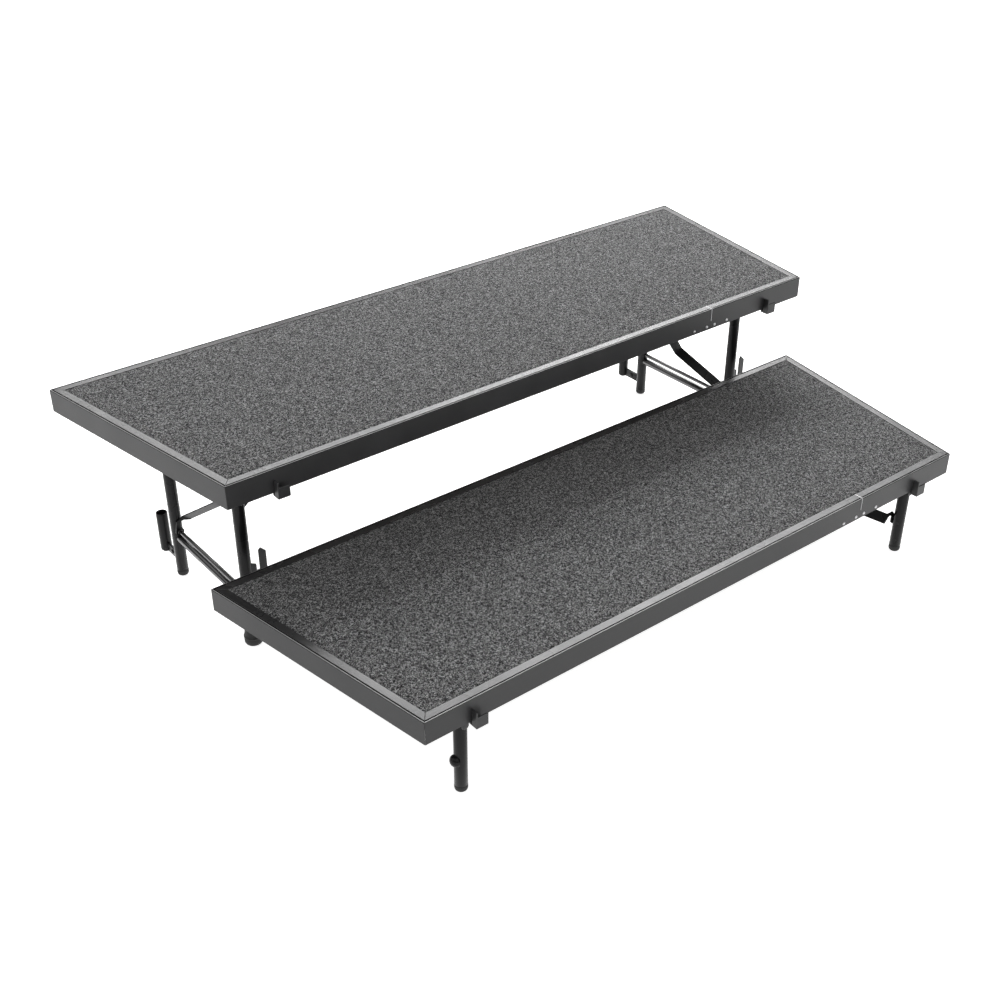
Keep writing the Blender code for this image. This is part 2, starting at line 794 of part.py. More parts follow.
def neck_outline():
    """The low end of a strip brace, along and across it from its eye.

    Its notch takes in the crossbar when the leg frame is folded, and its heel goes round that.
    """
    notch = CROSSBAR_RADIUS + NOTCH_GAP
    steps = SMALL_SIDES // 2
    outline = [(NECK_END, -BRACE_HALF_WIDTH)]
    for i in range(steps + 1):
        turn = math.pi * i / steps
        outline.append((BRACE_ROD_RISE + notch * math.cos(turn), notch * math.sin(turn)))
    for i in range(SMALL_SIDES + 1):
        turn = -math.radians(EYE_SWEEP) * i / SMALL_SIDES
        outline.append((EYE_RADIUS * math.cos(turn), EYE_RADIUS * math.sin(turn)))
    return [*outline, (HEEL_ALONG, HEEL_ACROSS), (NECK_END, BRACE_HALF_WIDTH)]


def strip_form(centres, side_way):
    """A flat strip through these centres, closed at its far end only."""
    form = bmesh.new()
    across_strip = BRACE_HALF_WIDTH * side_way
    through_strip = BRACE_THICKNESS / 2 * REAR
    rings = []
    for centre in centres:
        ring = []
        for width_sign, depth_sign in ((-1, -1), (1, -1), (1, 1), (-1, 1)):
            offset = width_sign * across_strip + depth_sign * through_strip
            ring.append(form.verts.new(centre + offset))
        rings.append(ring)
    for ring, following in zip(rings, rings[1:]):
        for i in range(4):
            form.faces.new((ring[i], ring[i - 1], following[i - 1], following[i]))
    form.faces.new(reversed(rings[-1]))
    return form


def strip_with_neck(centres, along, side_way, eye):
    """The strip with its neck, which meet without a face between them."""
    form = strip_form(centres, side_way)
    neck = outline_mesh("neck", [neck_outline()], BRACE_THICKNESS)
    neck.transform(axes(along, side_way, along.cross(side_way), eye))
    form.from_mesh(neck)
    neck_end = min(form.faces, key=lambda face: (face.calc_center_median() - centres[0]).length)
    bmesh.ops.delete(form, geom=[neck_end], context="FACES_ONLY")
    bmesh.ops.remove_doubles(form, verts=form.verts, dist=MERGE_DISTANCE)
    bmesh.ops.recalc_face_normals(form, faces=form.faces)
    mesh = bpy.data.meshes.new("brace")
    form.to_mesh(mesh)
    form.free()
    return mesh


def make_brace(unit, side, pivot):
    """A flat strip with an eye on the rod, bent across twice on its way up under the deck."""
    inward = INWARD[side]
    start_y = unit.front_leg_y if BRACED_END[side] == "front" else unit.rear_leg_y
    step = -inward * unit.brace_step * REAR
    eye_y = start_y - inward * (LEG_RADIUS + BRACE_TO_LEG_GAP + BRACE_THICKNESS / 2)
    angle = math.radians(unit.brace_angle)
    eye = Vector((unit.leg_place_x(side), eye_y, unit.brace_rod_z))
    along = Vector((inward * math.cos(angle), 0, math.sin(angle)))
    side_way = Vector((-inward * math.sin(angle), 0, math.cos(angle)))
    first, second = unit.brace_bends
    centres = [
        eye + NECK_END * along,
        eye + first * along,
        eye + second * along + step,
        eye + unit.brace_length * along + step,
    ]
    mesh = strip_with_neck(centres, along, side_way, eye)
    brace = add_object(f"{unit.name}_{side}_brace", mesh, parts, "tube")
    half = BRACE_THICKNESS / 2 * REAR
    fuse(brace, cylinder_mesh("end", centres[-1] - half, centres[-1] + half, BRACE_HALF_WIDTH))
    through = OVERCUT * REAR
    bore = BRACE_ROD_RADIUS + CLEARANCE
    cut(brace, cylinder_mesh("eye_hole", eye - through, eye + through, bore, SMALL_SIDES))
    hang(brace, pivot)


def make_channel(unit, side, pivot, rod_pivot):
    """An inverted channel under the board, with an ear beside each leg and a gusset by one ear."""
    x = unit.leg_place_x(side)
    inward = INWARD[side]
    top = unit.board_bottom - CLEARANCE
    half = CHANNEL_WIDTH / 2
    inner = half - CHANNEL_WALL
    section = [
        (x - half, top),
        (x - half, top - CHANNEL_DEPTH),
        (x - inner, top - CHANNEL_DEPTH),
        (x - inner, top - CHANNEL_WALL),
        (x + inner, top - CHANNEL_WALL),
        (x + inner, top - CHANNEL_DEPTH),
        (x + half, top - CHANNEL_DEPTH),
        (x + half, top),
    ]
    low_y = unit.front_y + CHANNEL_END_INSET
    high_y = unit.rear_y - CHANNEL_END_INSET
    mesh = outline_mesh("channel", [section], high_y - low_y)
    mesh.transform(across((low_y + high_y) / 2))
    channel = add_object(f"{unit.name}_{side}_leg_channel", mesh, parts, "frame")
    hinge = (x, unit.hinge_z)
    shoulder = top - CHANNEL_WALL / 2
    toe_z = unit.hinge_z - unit.gusset_drop
    reach = GUSSET_TOE + (shoulder - toe_z) / math.tan(math.radians(GUSSET_ANGLE))
    gusset = [
        (x + inward * GUSSET_ROOT, shoulder),
        (x + inward * reach, shoulder),
        (x + inward * GUSSET_TOE, toe_z),
        (x + inward * GUSSET_ROOT, toe_z),
    ]
    for end, y, towards in (("front", unit.front_leg_y, 1), ("rear", unit.rear_leg_y, -1)):
        start = ((x + inner, shoulder), (x - inner, shoulder))
        hole = circle(hinge, HINGE_ROD_RADIUS + CLEARANCE, SMALL_SIDES)
        ear = outline_mesh("channel_ear", [eye_outline(hinge, EAR_RADIUS, start), hole], EAR_THICKNESS)
        plates = [ear]
        if end != BRACED_END[side]:
            plates.append(outline_mesh("gusset", [gusset], EAR_THICKNESS))
        for plate in plates:
            plate.transform(across(y + towards * (LEG_RADIUS + CLEARANCE + EAR_THICKNESS / 2)))
        fuse(channel, *plates)
    past = LEG_RADIUS + HINGE_ROD_OVERHANG
    rod = cylinder_mesh(
        "hinge_rod",
        (x, unit.front_leg_y - past, unit.hinge_z),
        (x, unit.rear_leg_y + past, unit.hinge_z),
        HINGE_ROD_RADIUS,
        SMALL_SIDES,
    )
    smooth(rod)
    hinge_rod = add_object(f"{unit.name}_{side}_hinge_rod", rod, parts, "steel")
    hang(channel, pivot)
    hang(hinge_rod, rod_pivot)


def make_socket(unit, side, pivot):
    """An open tube with a closed floor behind the rear leg, and the plate that links them."""
    x = unit.leg_place_x(side)
    y = unit.rear_leg_y + SOCKET_DISTANCE
    name = f"{unit.name}_{side}_socket"
    inner = LEG_RADIUS - LEG_WALL
    profile = [
        (0, SOCKET_FLOOR),
        (inner, SOCKET_FLOOR),
        (inner, SOCKET_HEIGHT),
        (LEG_RADIUS, SOCKET_HEIGHT),
    ]
    profile += rounded_toe(LEG_RADIUS, SOCKET_FLAT_RADIUS)
    socket = turned_solid(name, profile, (0, 0, 0), "tube")
    near, far = LEG_RADIUS + CLEARANCE - SOCKET_DISTANCE, LEG_WALL / 2 - LEG_RADIUS
    middle = LINK_Z - SOCKET_BOTTOM
    plate = box_mesh(
        "link",
        (-LINK_THICKNESS / 2, near, middle - LINK_HEIGHT / 2),
        (LINK_THICKNESS / 2, far, middle + LINK_HEIGHT / 2),
    )
    plate.transform(Matrix.Translation((x, y, SOCKET_BOTTOM)))
    socket.location = (x, y, SOCKET_BOTTOM)
    fuse(socket, plate)
    hang(socket, pivot)


def make_fork(unit, side, pivot):
    """A flat plate on the +X side of a front leg, with a short and a tall prong."""
    x = unit.leg_place_x(side)
    low = FORK_BASE_Z
    waist = low + FORK_BASE_HEIGHT
    start = LEG_RADIUS + CLEARANCE
    outline = [
        (start, low),
        (FORK_TALL_REACH - FORK_POINT_DROP, low),
        (FORK_TALL_REACH, waist),
        (FORK_TALL_REACH, low + FORK_TALL_HEIGHT - FORK_POINT_DROP),
        (FORK_TALL_START + FORK_POINT_FROM_START, low + FORK_TALL_HEIGHT),
        (FORK_TALL_START, low + FORK_TALL_HEIGHT - FORK_SHOULDER_DROP),
        (FORK_TALL_START, waist),
        (FORK_SHORT_REACH, waist),
        (FORK_SHORT_REACH, low + FORK_SHORT_HEIGHT),
        (start, low + FORK_SHORT_HEIGHT + FORK_SHOULDER_DROP),
    ]
    mesh = outline_mesh("fork", [[(x + reach, height) for reach, height in outline]], FORK_THICKNESS)
    mesh.transform(across(unit.front_leg_y))
    fork = add_object(f"{unit.name}_{side}_fork", mesh, parts, "frame")
    hang(fork, pivot)


def make_leg_frame(unit, side, deck):
    x = unit.leg_place_x(side)
    middle_y = (unit.front_leg_y + unit.rear_leg_y) / 2
    hinge = make_pivot(f"{unit.name}_{side}_fold_axis", (x, middle_y, unit.hinge_z), deck)
    brace_axis = make_pivot(f"{unit.name}_{side}_brace_axis", (x, middle_y, unit.brace_rod_z), hinge)
    make_channel(unit, side, deck, deck if unit.has_crossbar else hinge)
    make_leg(unit, side, "front", hinge)
    make_leg(unit, side, "rear", hinge)
    if unit.has_crossbar:
        make_bars(unit, side, hinge)
    else:
        make_pin(unit, side, hinge)
    make_brace(unit, side, brace_axis)
    if unit.linked:
        make_socket(unit, side, hinge)
        make_fork(unit, side, hinge)


def make_unit(unit):
    middle_y = (unit.front_y + unit.rear_y) / 2
    deck = make_pivot(f"{unit.name}_unit", (0, middle_y, unit.deck_top))
    make_deck(unit, deck)
    for side in INWARD:
        make_hook(unit, side, deck)
        make_leg_frame(unit, side, deck)


def main():
    make_unit(UPPER)
    make_unit(LOWER)


main()
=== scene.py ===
"""Looks of the two-level bench riser: finer pieces, finishes, studio and camera.

Metres, +Z up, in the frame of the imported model. Run it in Blender 4.5.
"""

import json
import logging
import math
from contextlib import contextmanager
from dataclasses import dataclass
from enum import Enum
from typing import Iterable, Iterator, Sequence

import bmesh
import bpy
from mathutils import Matrix, Vector


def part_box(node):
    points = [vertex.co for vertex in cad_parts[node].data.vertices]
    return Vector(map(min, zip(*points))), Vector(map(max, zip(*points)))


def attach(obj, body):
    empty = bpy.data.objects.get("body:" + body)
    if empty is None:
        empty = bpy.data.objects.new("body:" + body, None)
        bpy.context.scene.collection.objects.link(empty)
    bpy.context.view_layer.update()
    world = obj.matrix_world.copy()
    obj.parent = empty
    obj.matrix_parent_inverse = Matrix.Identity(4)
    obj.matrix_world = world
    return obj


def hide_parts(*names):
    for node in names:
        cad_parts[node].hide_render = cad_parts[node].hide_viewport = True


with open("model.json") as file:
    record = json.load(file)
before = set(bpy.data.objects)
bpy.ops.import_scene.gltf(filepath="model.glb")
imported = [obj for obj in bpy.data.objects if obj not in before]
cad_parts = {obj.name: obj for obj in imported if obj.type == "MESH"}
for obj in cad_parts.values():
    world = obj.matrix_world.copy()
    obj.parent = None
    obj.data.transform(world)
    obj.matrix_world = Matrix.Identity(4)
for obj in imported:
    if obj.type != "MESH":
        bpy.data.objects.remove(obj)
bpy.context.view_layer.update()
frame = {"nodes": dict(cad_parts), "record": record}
log = logging.getLogger("bench_riser")

Colour = tuple[float, float, float]
Point = tuple[float, float, float]
Object = bpy.types.Object
Node = bpy.types.Node
Material = bpy.types.Material
Socket = bpy.types.NodeSocket
Profile = list[tuple[float, float]]

MERGE_DISTANCE = 0.00001
LEG_RADIUS = 0.0111
LEG_WALL = 0.0015
CROSSBAR_RADIUS = 0.0076
BRACE_ROD_RADIUS = 0.0042
HINGE_ROD_RADIUS = 0.004
ROUND_SIDES = 48
EDGE_ATTRIBUTE = "edge"
# The attribute of the groove faces that get painted shade.
GROOVE_SHADE_ATTRIBUTE = "grime"
# The attribute of the outer rim strip that gets a painted highlight.
RIM_HIGHLIGHT_ATTRIBUTE = "bare"
GROOVE_REACH = 0.0016
RIM_WIDTH = 0.0019
RIM_DEPTH = 0.0006
DUST_COLOUR = (0.2, 0.2, 0.2)
# Light grey painted highlight along the rails' outer rims.
RIM_HIGHLIGHT_COLOUR = (0.4, 0.4, 0.4)
# Near black painted shade in the rails' grooves.
GROOVE_SHADE_COLOUR = (0.003, 0.003, 0.003)
WHITE = (1.0, 1.0, 1.0, 1.0)


class Worded(Enum):
    """A choice whose name is also a word in the names of nodes."""

    @property
    def word(self) -> str:
        """The word in the names."""
        return self.name.lower()


class Side(Worded):
    """The two leg frames of a unit. The value is the way towards the unit's middle along X."""

    LEFT = 1
    RIGHT = -1


class End(Worded):
    """The two legs of a frame. The value is the way towards the frame's middle along Y."""

    FRONT = 1
    REAR = -1


# Shader nodes


def fill(node: Node, values: dict[str, float]) -> None:
    """Sets a node's inputs, whose names are given with underscores."""
    for name, value in values.items():
        node.inputs[name.replace("_", " ")].default_value = value


class NodeTree:
    """A shader node tree, with short ways to add and link its nodes."""

    def __init__(self, tree: bpy.types.NodeTree) -> None:
        """Takes the tree to work on."""
        self.tree = tree

    def add(self, kind: str, **values: float) -> Node:
        """Adds a shader node and sets its inputs."""
        node = self.tree.nodes.new(f"ShaderNode{kind}")
        fill(node, values)
        return node

    def link(self, source: Socket, target: Socket) -> None:
        """Links one socket to another."""
        self.tree.links.new(source, target)

    def calculate(self, operation: str, *terms: "Socket | float", clamp: bool = False) -> Socket:
        """Adds a math node.

        Args:
            operation: what the node does.
            terms: its inputs in order, as sockets or plain numbers.
            clamp: whether the result is kept between 0 and 1.

        Returns:
            The socket with the result.
        """
        node = self.add("Math")
        node.operation = operation
        node.use_clamp = clamp
        for target, term in zip(node.inputs, terms):
            if isinstance(term, float):
                target.default_value = term
            else:
                self.link(term, target)
        return node.outputs["Value"]

    def remap(self, value: Socket, **limits: float) -> Socket:
        """Maps a value from one range to another. The limits are named as the node names them."""
        node = self.add("MapRange", **limits)
        self.link(value, node.inputs["Value"])
        return node.outputs["Result"]

    def texture(self, kind: str, **values: float) -> Node:
        """Adds a texture on the piece's own coordinates."""
        node = self.add(kind, **values)
        self.link(self.add("TexCoord").outputs["Object"], node.inputs["Vector"])
        return node

    def attribute(self, name: str) -> Socket:
        """The value of a mesh attribute."""
        node = self.add("Attribute")
        node.attribute_name = name
        return node.outputs["Fac"]

    def upward_share(self) -> Socket:
        """The upward share of the surface's normal."""
        parts = self.add("SeparateXYZ")
        self.link(self.add("NewGeometry").outputs["Normal"], parts.inputs["Vector"])
        return parts.outputs["Z"]


class Effect(Enum):
    """The shader node groups that more than one finish uses."""

    CLOUDS = "soft_clouds"
    RUBBED_EDGES = "rubbed_edges"
    DUST = "settled_dust"
    LOOKING_UP = "looking_up"


class EffectGroup(NodeTree):
    """One shared effect as a node group: numbers go in, and masks or values come out."""

    def __init__(self, effect: Effect, inputs: dict[str, float], *outputs: str) -> None:
        """Starts the group.

        Args:
            effect: the effect, which names the group.
            inputs: the names of its inputs with their first values.
            outputs: the names of its outputs.
        """
        super().__init__(bpy.data.node_groups.new(effect.value, "ShaderNodeTree"))
        for name, value in inputs.items():
            socket = self.tree.interface.new_socket(name, in_out="INPUT", socket_type="NodeSocketFloat")
            socket.default_value = value
        for name in outputs:
            self.tree.interface.new_socket(name, in_out="OUTPUT", socket_type="NodeSocketFloat")
        self.given = self.tree.nodes.new("NodeGroupInput").outputs
        self.result = self.tree.nodes.new("NodeGroupOutput").inputs

    def noise(self, scale_name: str, detail: float) -> Socket:
        """A noise whose scale is one of the group's inputs."""
        noise = self.texture("TexNoise", Detail=detail)
        self.link(self.given[scale_name], noise.inputs["Scale"])
        return noise.outputs["Fac"]

    def give_mask(self, first: Socket, second: Socket) -> None:
        """Gives the product of two masks and the group's amount as its mask."""
        both = self.calculate("MULTIPLY", first, second)
        self.link(self.calculate("MULTIPLY", both, self.given["Amount"], clamp=True), self.result["Mask"])


def build_clouds() -> None:
    """Two noises on the piece's own coordinates: fine grain for a bump, and soft clouds for tone."""
    group = EffectGroup(Effect.CLOUDS, {"Grain Scale": 900.0, "Cloud Scale": 14.0}, "Grain", "Cloud")
    group.link(group.noise("Grain Scale", 2.0), group.result["Grain"])
    group.link(group.noise("Cloud Scale", 4.0), group.result["Cloud"])


def build_rubbed_edges() -> None:
    """A mask of the piece's rounded edges, broken up by a noise."""
    group = EffectGroup(Effect.RUBBED_EDGES, {"Amount": 0.5, "Patch Scale": 60.0}, "Mask")
    patches = group.remap(group.noise("Patch Scale", 3.0), From_Min=0.38, From_Max=0.66)
    group.give_mask(patches, group.attribute(EDGE_ATTRIBUTE))


def build_dust() -> None:
    """A mask of thin dust on the faces that look up, thicker in soft patches."""
    group = EffectGroup(Effect.DUST, {"Amount": 0.15, "Patch Scale": 9.0}, "Mask")
    group.give_mask(group.upward_share(), group.noise("Patch Scale", 5.0))


def build_looking_up() -> None:
    """A value that the faces that look up have in full, and upright faces not at all."""
    group = EffectGroup(Effect.LOOKING_UP, {"Level": 0.1}, "Value")
    upward = group.remap(group.upward_share(), From_Min=0.7, From_Max=0.95)
    group.link(group.calculate("MULTIPLY", upward, group.given["Level"]), group.result["Value"])


class Shader(NodeTree):
    """A material's node tree, with the steps that several finishes share."""

    def __init__(self, name: str) -> None:
        """Starts a material with its Principled shader."""
        self.material = bpy.data.materials.new(name)
        self.material.use_nodes = True
        super().__init__(self.material.node_tree)
        self.surface = self.tree.nodes["Principled BSDF"]

    def add_group(self, effect: Effect, **values: float) -> bpy.types.bpy_prop_collection:
        """Adds one of the shared effects, and returns its outputs."""
        node = self.add("Group")
        node.node_tree = bpy.data.node_groups[effect.value]
        fill(node, values)
        return node.outputs

    def feed(self, **sockets: Socket) -> None:
        """Links sockets to inputs of the Principled shader, named with underscores."""
        for name, socket in sockets.items():
            self.link(socket, self.surface.inputs[name.replace("_", " ")])

    def ramp(self, mask: Socket, stops: Sequence[tuple[float, Colour]]) -> Socket:
        """Turns a mask into colours.

        Args:
            mask: the socket that runs from 0 to 1.
            stops: places on the mask, each with its colour.

        Returns:
            The socket with the colour.
        """
        node = self.add("ValToRGB")
        while len(node.color_ramp.elements) < len(stops):
            node.color_ramp.elements.new(0.5)
        for element, (place, colour) in zip(node.color_ramp.elements, stops):
            element.position = place
            element.color = (*colour, 1.0)
        self.link(mask, node.inputs["Fac"])
        return node.outputs["Color"]

    def mix(self, mask: Socket, first: Socket, second: Colour) -> Socket:
        """Lays a plain colour over another by a mask, and returns the socket with the colour."""
        node = self.add("Mix")
        node.data_type = "RGBA"
        self.link(mask, node.inputs["Factor"])
        self.link(first, node.inputs["A"])
        node.inputs["B"].default_value = (*second, 1.0)
        return node.outputs["Result"]

    def spread(self, mask: Socket, low: float, high: float) -> Socket:
        """Spreads a noise between two values, and returns the socket with the result."""
        return self.remap(mask, From_Min=0.3, From_Max=0.7, To_Min=low, To_Max=high)

    def bump(self, height: Socket, strength: float, distance: float) -> None:
        """Gives the surface a bump from a height socket."""
        node = self.add("Bump", Strength=strength, Distance=distance)
        self.link(height, node.inputs["Height"])
        self.feed(Normal=node.outputs["Normal"])


# Finishes


def shade(colour: Colour, factor: float) -> Colour:
    """A darker or lighter shade of a colour."""
    return tuple(factor * value for value in colour)


@dataclass(frozen=True)
class Paint:
    """A paint or powder coat on metal, with soft clouds, grain, rubbed edges and a little dust.

    Shoes wear it smoother on top: worn_top is taken from the roughness of the faces that look up.
    Faces marked in a rail's groove get painted shade, near black and without specular, and faces marked along
    a rail's outer rim get a painted highlight in light grey.
    """

    name: str
    colour: Colour
    rubbed: Colour
    roughness: float
    grain: float
    specular: float
    rub: float = 0.4
    dust: float = 0.02
    worn_top: float = 0.0
    ior: float = 1.5

    def make(self) -> Material:
        """Builds the material."""
        shader = Shader(self.name)
        clouds = shader.add_group(Effect.CLOUDS, Grain_Scale=1100.0, Cloud_Scale=11.0)
        edges = shader.add_group(Effect.RUBBED_EDGES, Amount=self.rub, Patch_Scale=45.0)
        dust = shader.add_group(Effect.DUST, Amount=self.dust, Patch_Scale=7.0)
        top = shader.add_group(Effect.LOOKING_UP, Level=self.worn_top)
        # Groove faces get painted shade: a near black base colour and no specular.
        grime = shader.attribute(GROOVE_SHADE_ATTRIBUTE)
        tone = shader.ramp(clouds["Cloud"], ((0.3, shade(self.colour, 0.82)), (0.7, shade(self.colour, 1.2))))
        worn = shader.mix(edges["Mask"], tone, self.rubbed)
        dusty = shader.mix(dust["Mask"], worn, DUST_COLOUR)
        # The rails' outer rims get a painted highlight in light grey.
        highlighted_rim = shader.mix(shader.attribute(RIM_HIGHLIGHT_ATTRIBUTE), dusty, RIM_HIGHLIGHT_COLOUR)
        gloss = shader.spread(clouds["Cloud"], self.roughness - 0.04, self.roughness + 0.05)
        shader.feed(
            Base_Color=shader.mix(grime, highlighted_rim, GROOVE_SHADE_COLOUR),
            Roughness=shader.calculate("SUBTRACT", gloss, top["Value"]),
            Specular_IOR_Level=shader.remap(grime, To_Min=self.specular, To_Max=0.0),
        )
        fill(shader.surface, {"IOR": self.ior})
        shader.bump(clouds["Grain"], self.grain, 0.0004)
        return shader.material


@dataclass(frozen=True)
class ZincPlate:
    """Bright zinc on small steel pieces, with a faint cloudy spangle."""

    name: str
    colour: Colour
    roughness: float

    def make(self) -> Material:
        """Builds the material."""
        shader = Shader(self.name)
        fill(shader.surface, {"Metallic": 1.0})
        clouds = shader.add_group(Effect.CLOUDS, Grain_Scale=700.0, Cloud_Scale=120.0)
        shader.feed(
            Base_Color=shader.ramp(clouds["Cloud"], ((0.35, shade(self.colour, 0.8)), (0.65, self.colour))),
            Roughness=shader.spread(clouds["Cloud"], self.roughness - 0.06, self.roughness + 0.1),
        )
        shader.bump(clouds["Grain"], 0.08, 0.0003)
        return shader.material


@dataclass(frozen=True)
class MouldedRubber:
    """Matt black rubber, scuffed grey on its rounded edges."""

    name: str
    colour: Colour
    scuffed: Colour

    def make(self) -> Material:
        """Builds the material."""
        shader = Shader(self.name)
        clouds = shader.add_group(Effect.CLOUDS, Grain_Scale=1500.0, Cloud_Scale=40.0)
        edges = shader.add_group(Effect.RUBBED_EDGES, Amount=0.5, Patch_Scale=90.0)
        tone = shader.ramp(clouds["Cloud"], ((0.3, shade(self.colour, 0.7)), (0.7, self.colour)))
        shader.feed(
            Base_Color=shader.mix(edges["Mask"], tone, self.scuffed),
            Roughness=shader.spread(clouds["Cloud"], 0.48, 0.66),
        )
        shader.bump(clouds["Grain"], 0.2, 0.0003)
        return shader.material


@dataclass(frozen=True)
class Plywood:
    """A plywood face with long grain along X, and its plies on the edges."""

    name: str
    early: Colour
    late: Colour

    def make(self) -> Material:
        """Builds the material."""
        shader = Shader(self.name)
        stretch = shader.texture("Mapping", Scale=(1.0, 9.0, 300.0))
        grain = shader.add("TexNoise", Scale=5.0, Detail=8.0, Roughness=0.6, Distortion=0.8)
        shader.link(stretch.outputs["Vector"], grain.inputs["Vector"])
        value = grain.outputs["Fac"]
        stops = ((0.3, self.late), (0.52, self.early), (0.75, shade(self.early, 1.15)))
        shader.feed(Base_Color=shader.ramp(value, stops), Roughness=shader.spread(value, 0.55, 0.75))
        shader.bump(value, 0.25, 0.0006)
        return shader.material


@dataclass(frozen=True)
class LoopPile:
    """Charcoal and grey loop-pile carpet: short worm-like loops in three tones, with painted shade between
    the tufts.
    """

    name: str
    dark: Colour
    middle: Colour
    light: Colour
    loops: float

    def make(self) -> Material:
        """Builds the material, with its number of loops to the metre."""
        shader = Shader(self.name)
        worms = shader.texture("TexNoise", Scale=self.loops, Detail=1.5, Distortion=1.6)
        tufts = shader.texture("TexVoronoi", Scale=1.35 * self.loops).outputs["Distance"]
        fibres = shader.texture("TexNoise", Scale=7.0 * self.loops, Detail=2.0)
        stops = ((0.42, self.dark), (0.49, self.middle), (0.53, self.middle), (0.59, self.light))
        tone = shader.ramp(worms.outputs["Fac"], stops)
        # The gaps between the tufts are darkened towards near black: painted shade.
        shade_between_tufts = shader.remap(tufts, From_Min=0.45, From_Max=0.95, To_Min=0.0, To_Max=0.75)
        shader.feed(Base_Color=shader.mix(shade_between_tufts, tone, shade(self.dark, 0.35)))
        fill(shader.surface, {"Roughness": 0.92, "Specular IOR Level": 0.15, "Sheen Weight": 0.12})
        shader.bump(shader.calculate("MULTIPLY_ADD", tufts, -0.8, fibres.outputs["Fac"]), 0.75, 0.0016)
        return shader.material


def make_finishes() -> dict[str, Material]:
    """Builds the shared effects, and then every finish under the name that pieces ask for it by."""
    for build in (build_clouds, build_rubbed_edges, build_dust, build_looking_up):
        build()
    black = (0.008, 0.008, 0.0085)
    coat = Paint("frame_powder_coat", (0.032, 0.032, 0.033), (0.11, 0.11, 0.112), roughness=0.42, grain=0.2,
                 specular=0.4, rub=0.6, dust=0.06, worn_top=0.16)
    finishes = {
        "frame": coat,
        "tube": Paint("leg_paint", black, (0.03, 0.03, 0.03), roughness=0.26, grain=0.04, specular=0.2),
        "bar": Paint("bar_gloss_paint", black, (0.05, 0.05, 0.05), roughness=0.14, grain=0.03, specular=0.5,
                     ior=1.9),
        "steel": ZincPlate("zinc_plate", (0.62, 0.62, 0.63), 0.28),
        "board": Plywood("stained_plywood", (0.1, 0.085, 0.07), (0.06, 0.05, 0.042)),
        "carpet": LoopPile("loop_pile", (0.006, 0.006, 0.006), (0.1, 0.1, 0.102), (0.5, 0.5, 0.5), 330.0),
        "rubber": MouldedRubber("black_rubber", (0.010, 0.010, 0.010), (0.03, 0.029, 0.028)),
    }
    return {name: finish.make() for name, finish in finishes.items()}


# Modelling steps


def pick(*objects: Object) -> None:
    """Selects these objects alone, and makes the first one active."""
    bpy.ops.object.select_all(action="DESELECT")
    for obj in objects:
        obj.select_set(True)
    bpy.context.view_layer.objects.active = objects[0]


@contextmanager
def editing(obj: Object) -> Iterator[bmesh.types.BMesh]:
    """Opens an object in edit mode, with all of its faces selected, and closes it again."""
    pick(obj)
    bpy.ops.object.mode_set(mode="EDIT")
    bpy.ops.mesh.select_mode(type="FACE")
    bpy.ops.mesh.select_all(action="SELECT")
    yield bmesh.from_edit_mesh(obj.data)
    bpy.ops.object.mode_set(mode="OBJECT")


def sink_end(obj: Object, way: int, rim: float, depth: float) -> None:
    """Sinks the top or the bottom of an upright rod, and leaves a rim.

    Args:
        obj: the rod.
        way: 1 for its top, -1 for its bottom.
        rim: the rim's width.
        depth: how far the face is sunk.
    """
    with editing(obj) as form:
        for face in form.faces:
            face.select_set(way * face.normal.z > 0.9)
        form.select_flush(True)
        bpy.ops.mesh.inset(thickness=rim, depth=0)
        bpy.ops.mesh.extrude_region_move(TRANSFORM_OT_translate={"value": (0, 0, -way * depth)})


def show(obj: Object) -> Object:
    """Puts a new object into the scene, and returns it."""
    bpy.context.scene.collection.objects.link(obj)
    return obj


def settle(obj: Object) -> Object:
    """Puts an object's place, turn and scale into its mesh, and returns it."""
    pick(obj)
    bpy.ops.object.transform_apply(location=True, rotation=True, scale=True)
    return obj


def mark_faces(mesh: bpy.types.Mesh, attribute: str, values: Iterable[float]) -> None:
    """Gives every face of a mesh a value in a new attribute."""
    layer = mesh.attributes.new(attribute, "FLOAT", "FACE")
    layer.data.foreach_set("value", [float(value) for value in values])


def round_edges(obj: Object, width: float, segments: int = 2, angle: float = 32.0) -> None:
    """Bevels an object's sharp edges and marks the new faces in its edge attribute.

    Args:
        obj: the object, whose mesh is changed.
        width: the bevel's width in metres.
        segments: the number of faces across the bevel.
        angle: edges sharper than this many degrees are rounded.
    """
    mesh = obj.data
    while len(mesh.materials) < 2:
        mesh.materials.append(None)
    mesh.polygons.foreach_set("material_index", [0] * len(mesh.polygons))
    bevel = obj.modifiers.new("Rounded edges", "BEVEL")
    bevel.width = width
    bevel.segments = segments
    bevel.limit_method = "ANGLE"
    bevel.angle_limit = math.radians(angle)
    bevel.use_clamp_overlap = True
    bevel.material = 1
    pick(obj)
    bpy.ops.object.modifier_apply(modifier=bevel.name)
    mesh = obj.data
    mark_faces(mesh, EDGE_ATTRIBUTE, [face.material_index for face in mesh.polygons])
    mesh.polygons.foreach_set("material_index", [0] * len(mesh.polygons))
    mesh.materials.clear()


def smooth(obj: Object, angle: float = 38.0) -> Object:
    """Shades an object smooth over edges flatter than an angle in degrees, and returns it."""
    pick(obj)
    bpy.ops.object.shade_smooth_by_angle(angle=math.radians(angle))
    return obj


def even_normals(obj: Object) -> None:
    """Makes large faces shade flat and lets only the bevels between them turn."""
    weighted = obj.modifiers.new("Even normals", "WEIGHTED_NORMAL")
    weighted.keep_sharp = True
    weighted.weight = 100
    pick(obj)
    bpy.ops.object.modifier_apply(modifier=weighted.name)


def mark_groove(obj: Object, top: float) -> None:
    """Marks the faces just under a rail's top, which are those of its groove, for painted shade."""
    mesh = obj.data
    low, high = top - GROOVE_REACH, top - GROOVE_REACH / 4
    mark_faces(mesh, GROOVE_SHADE_ATTRIBUTE, [low < face.center.z < high for face in mesh.polygons])


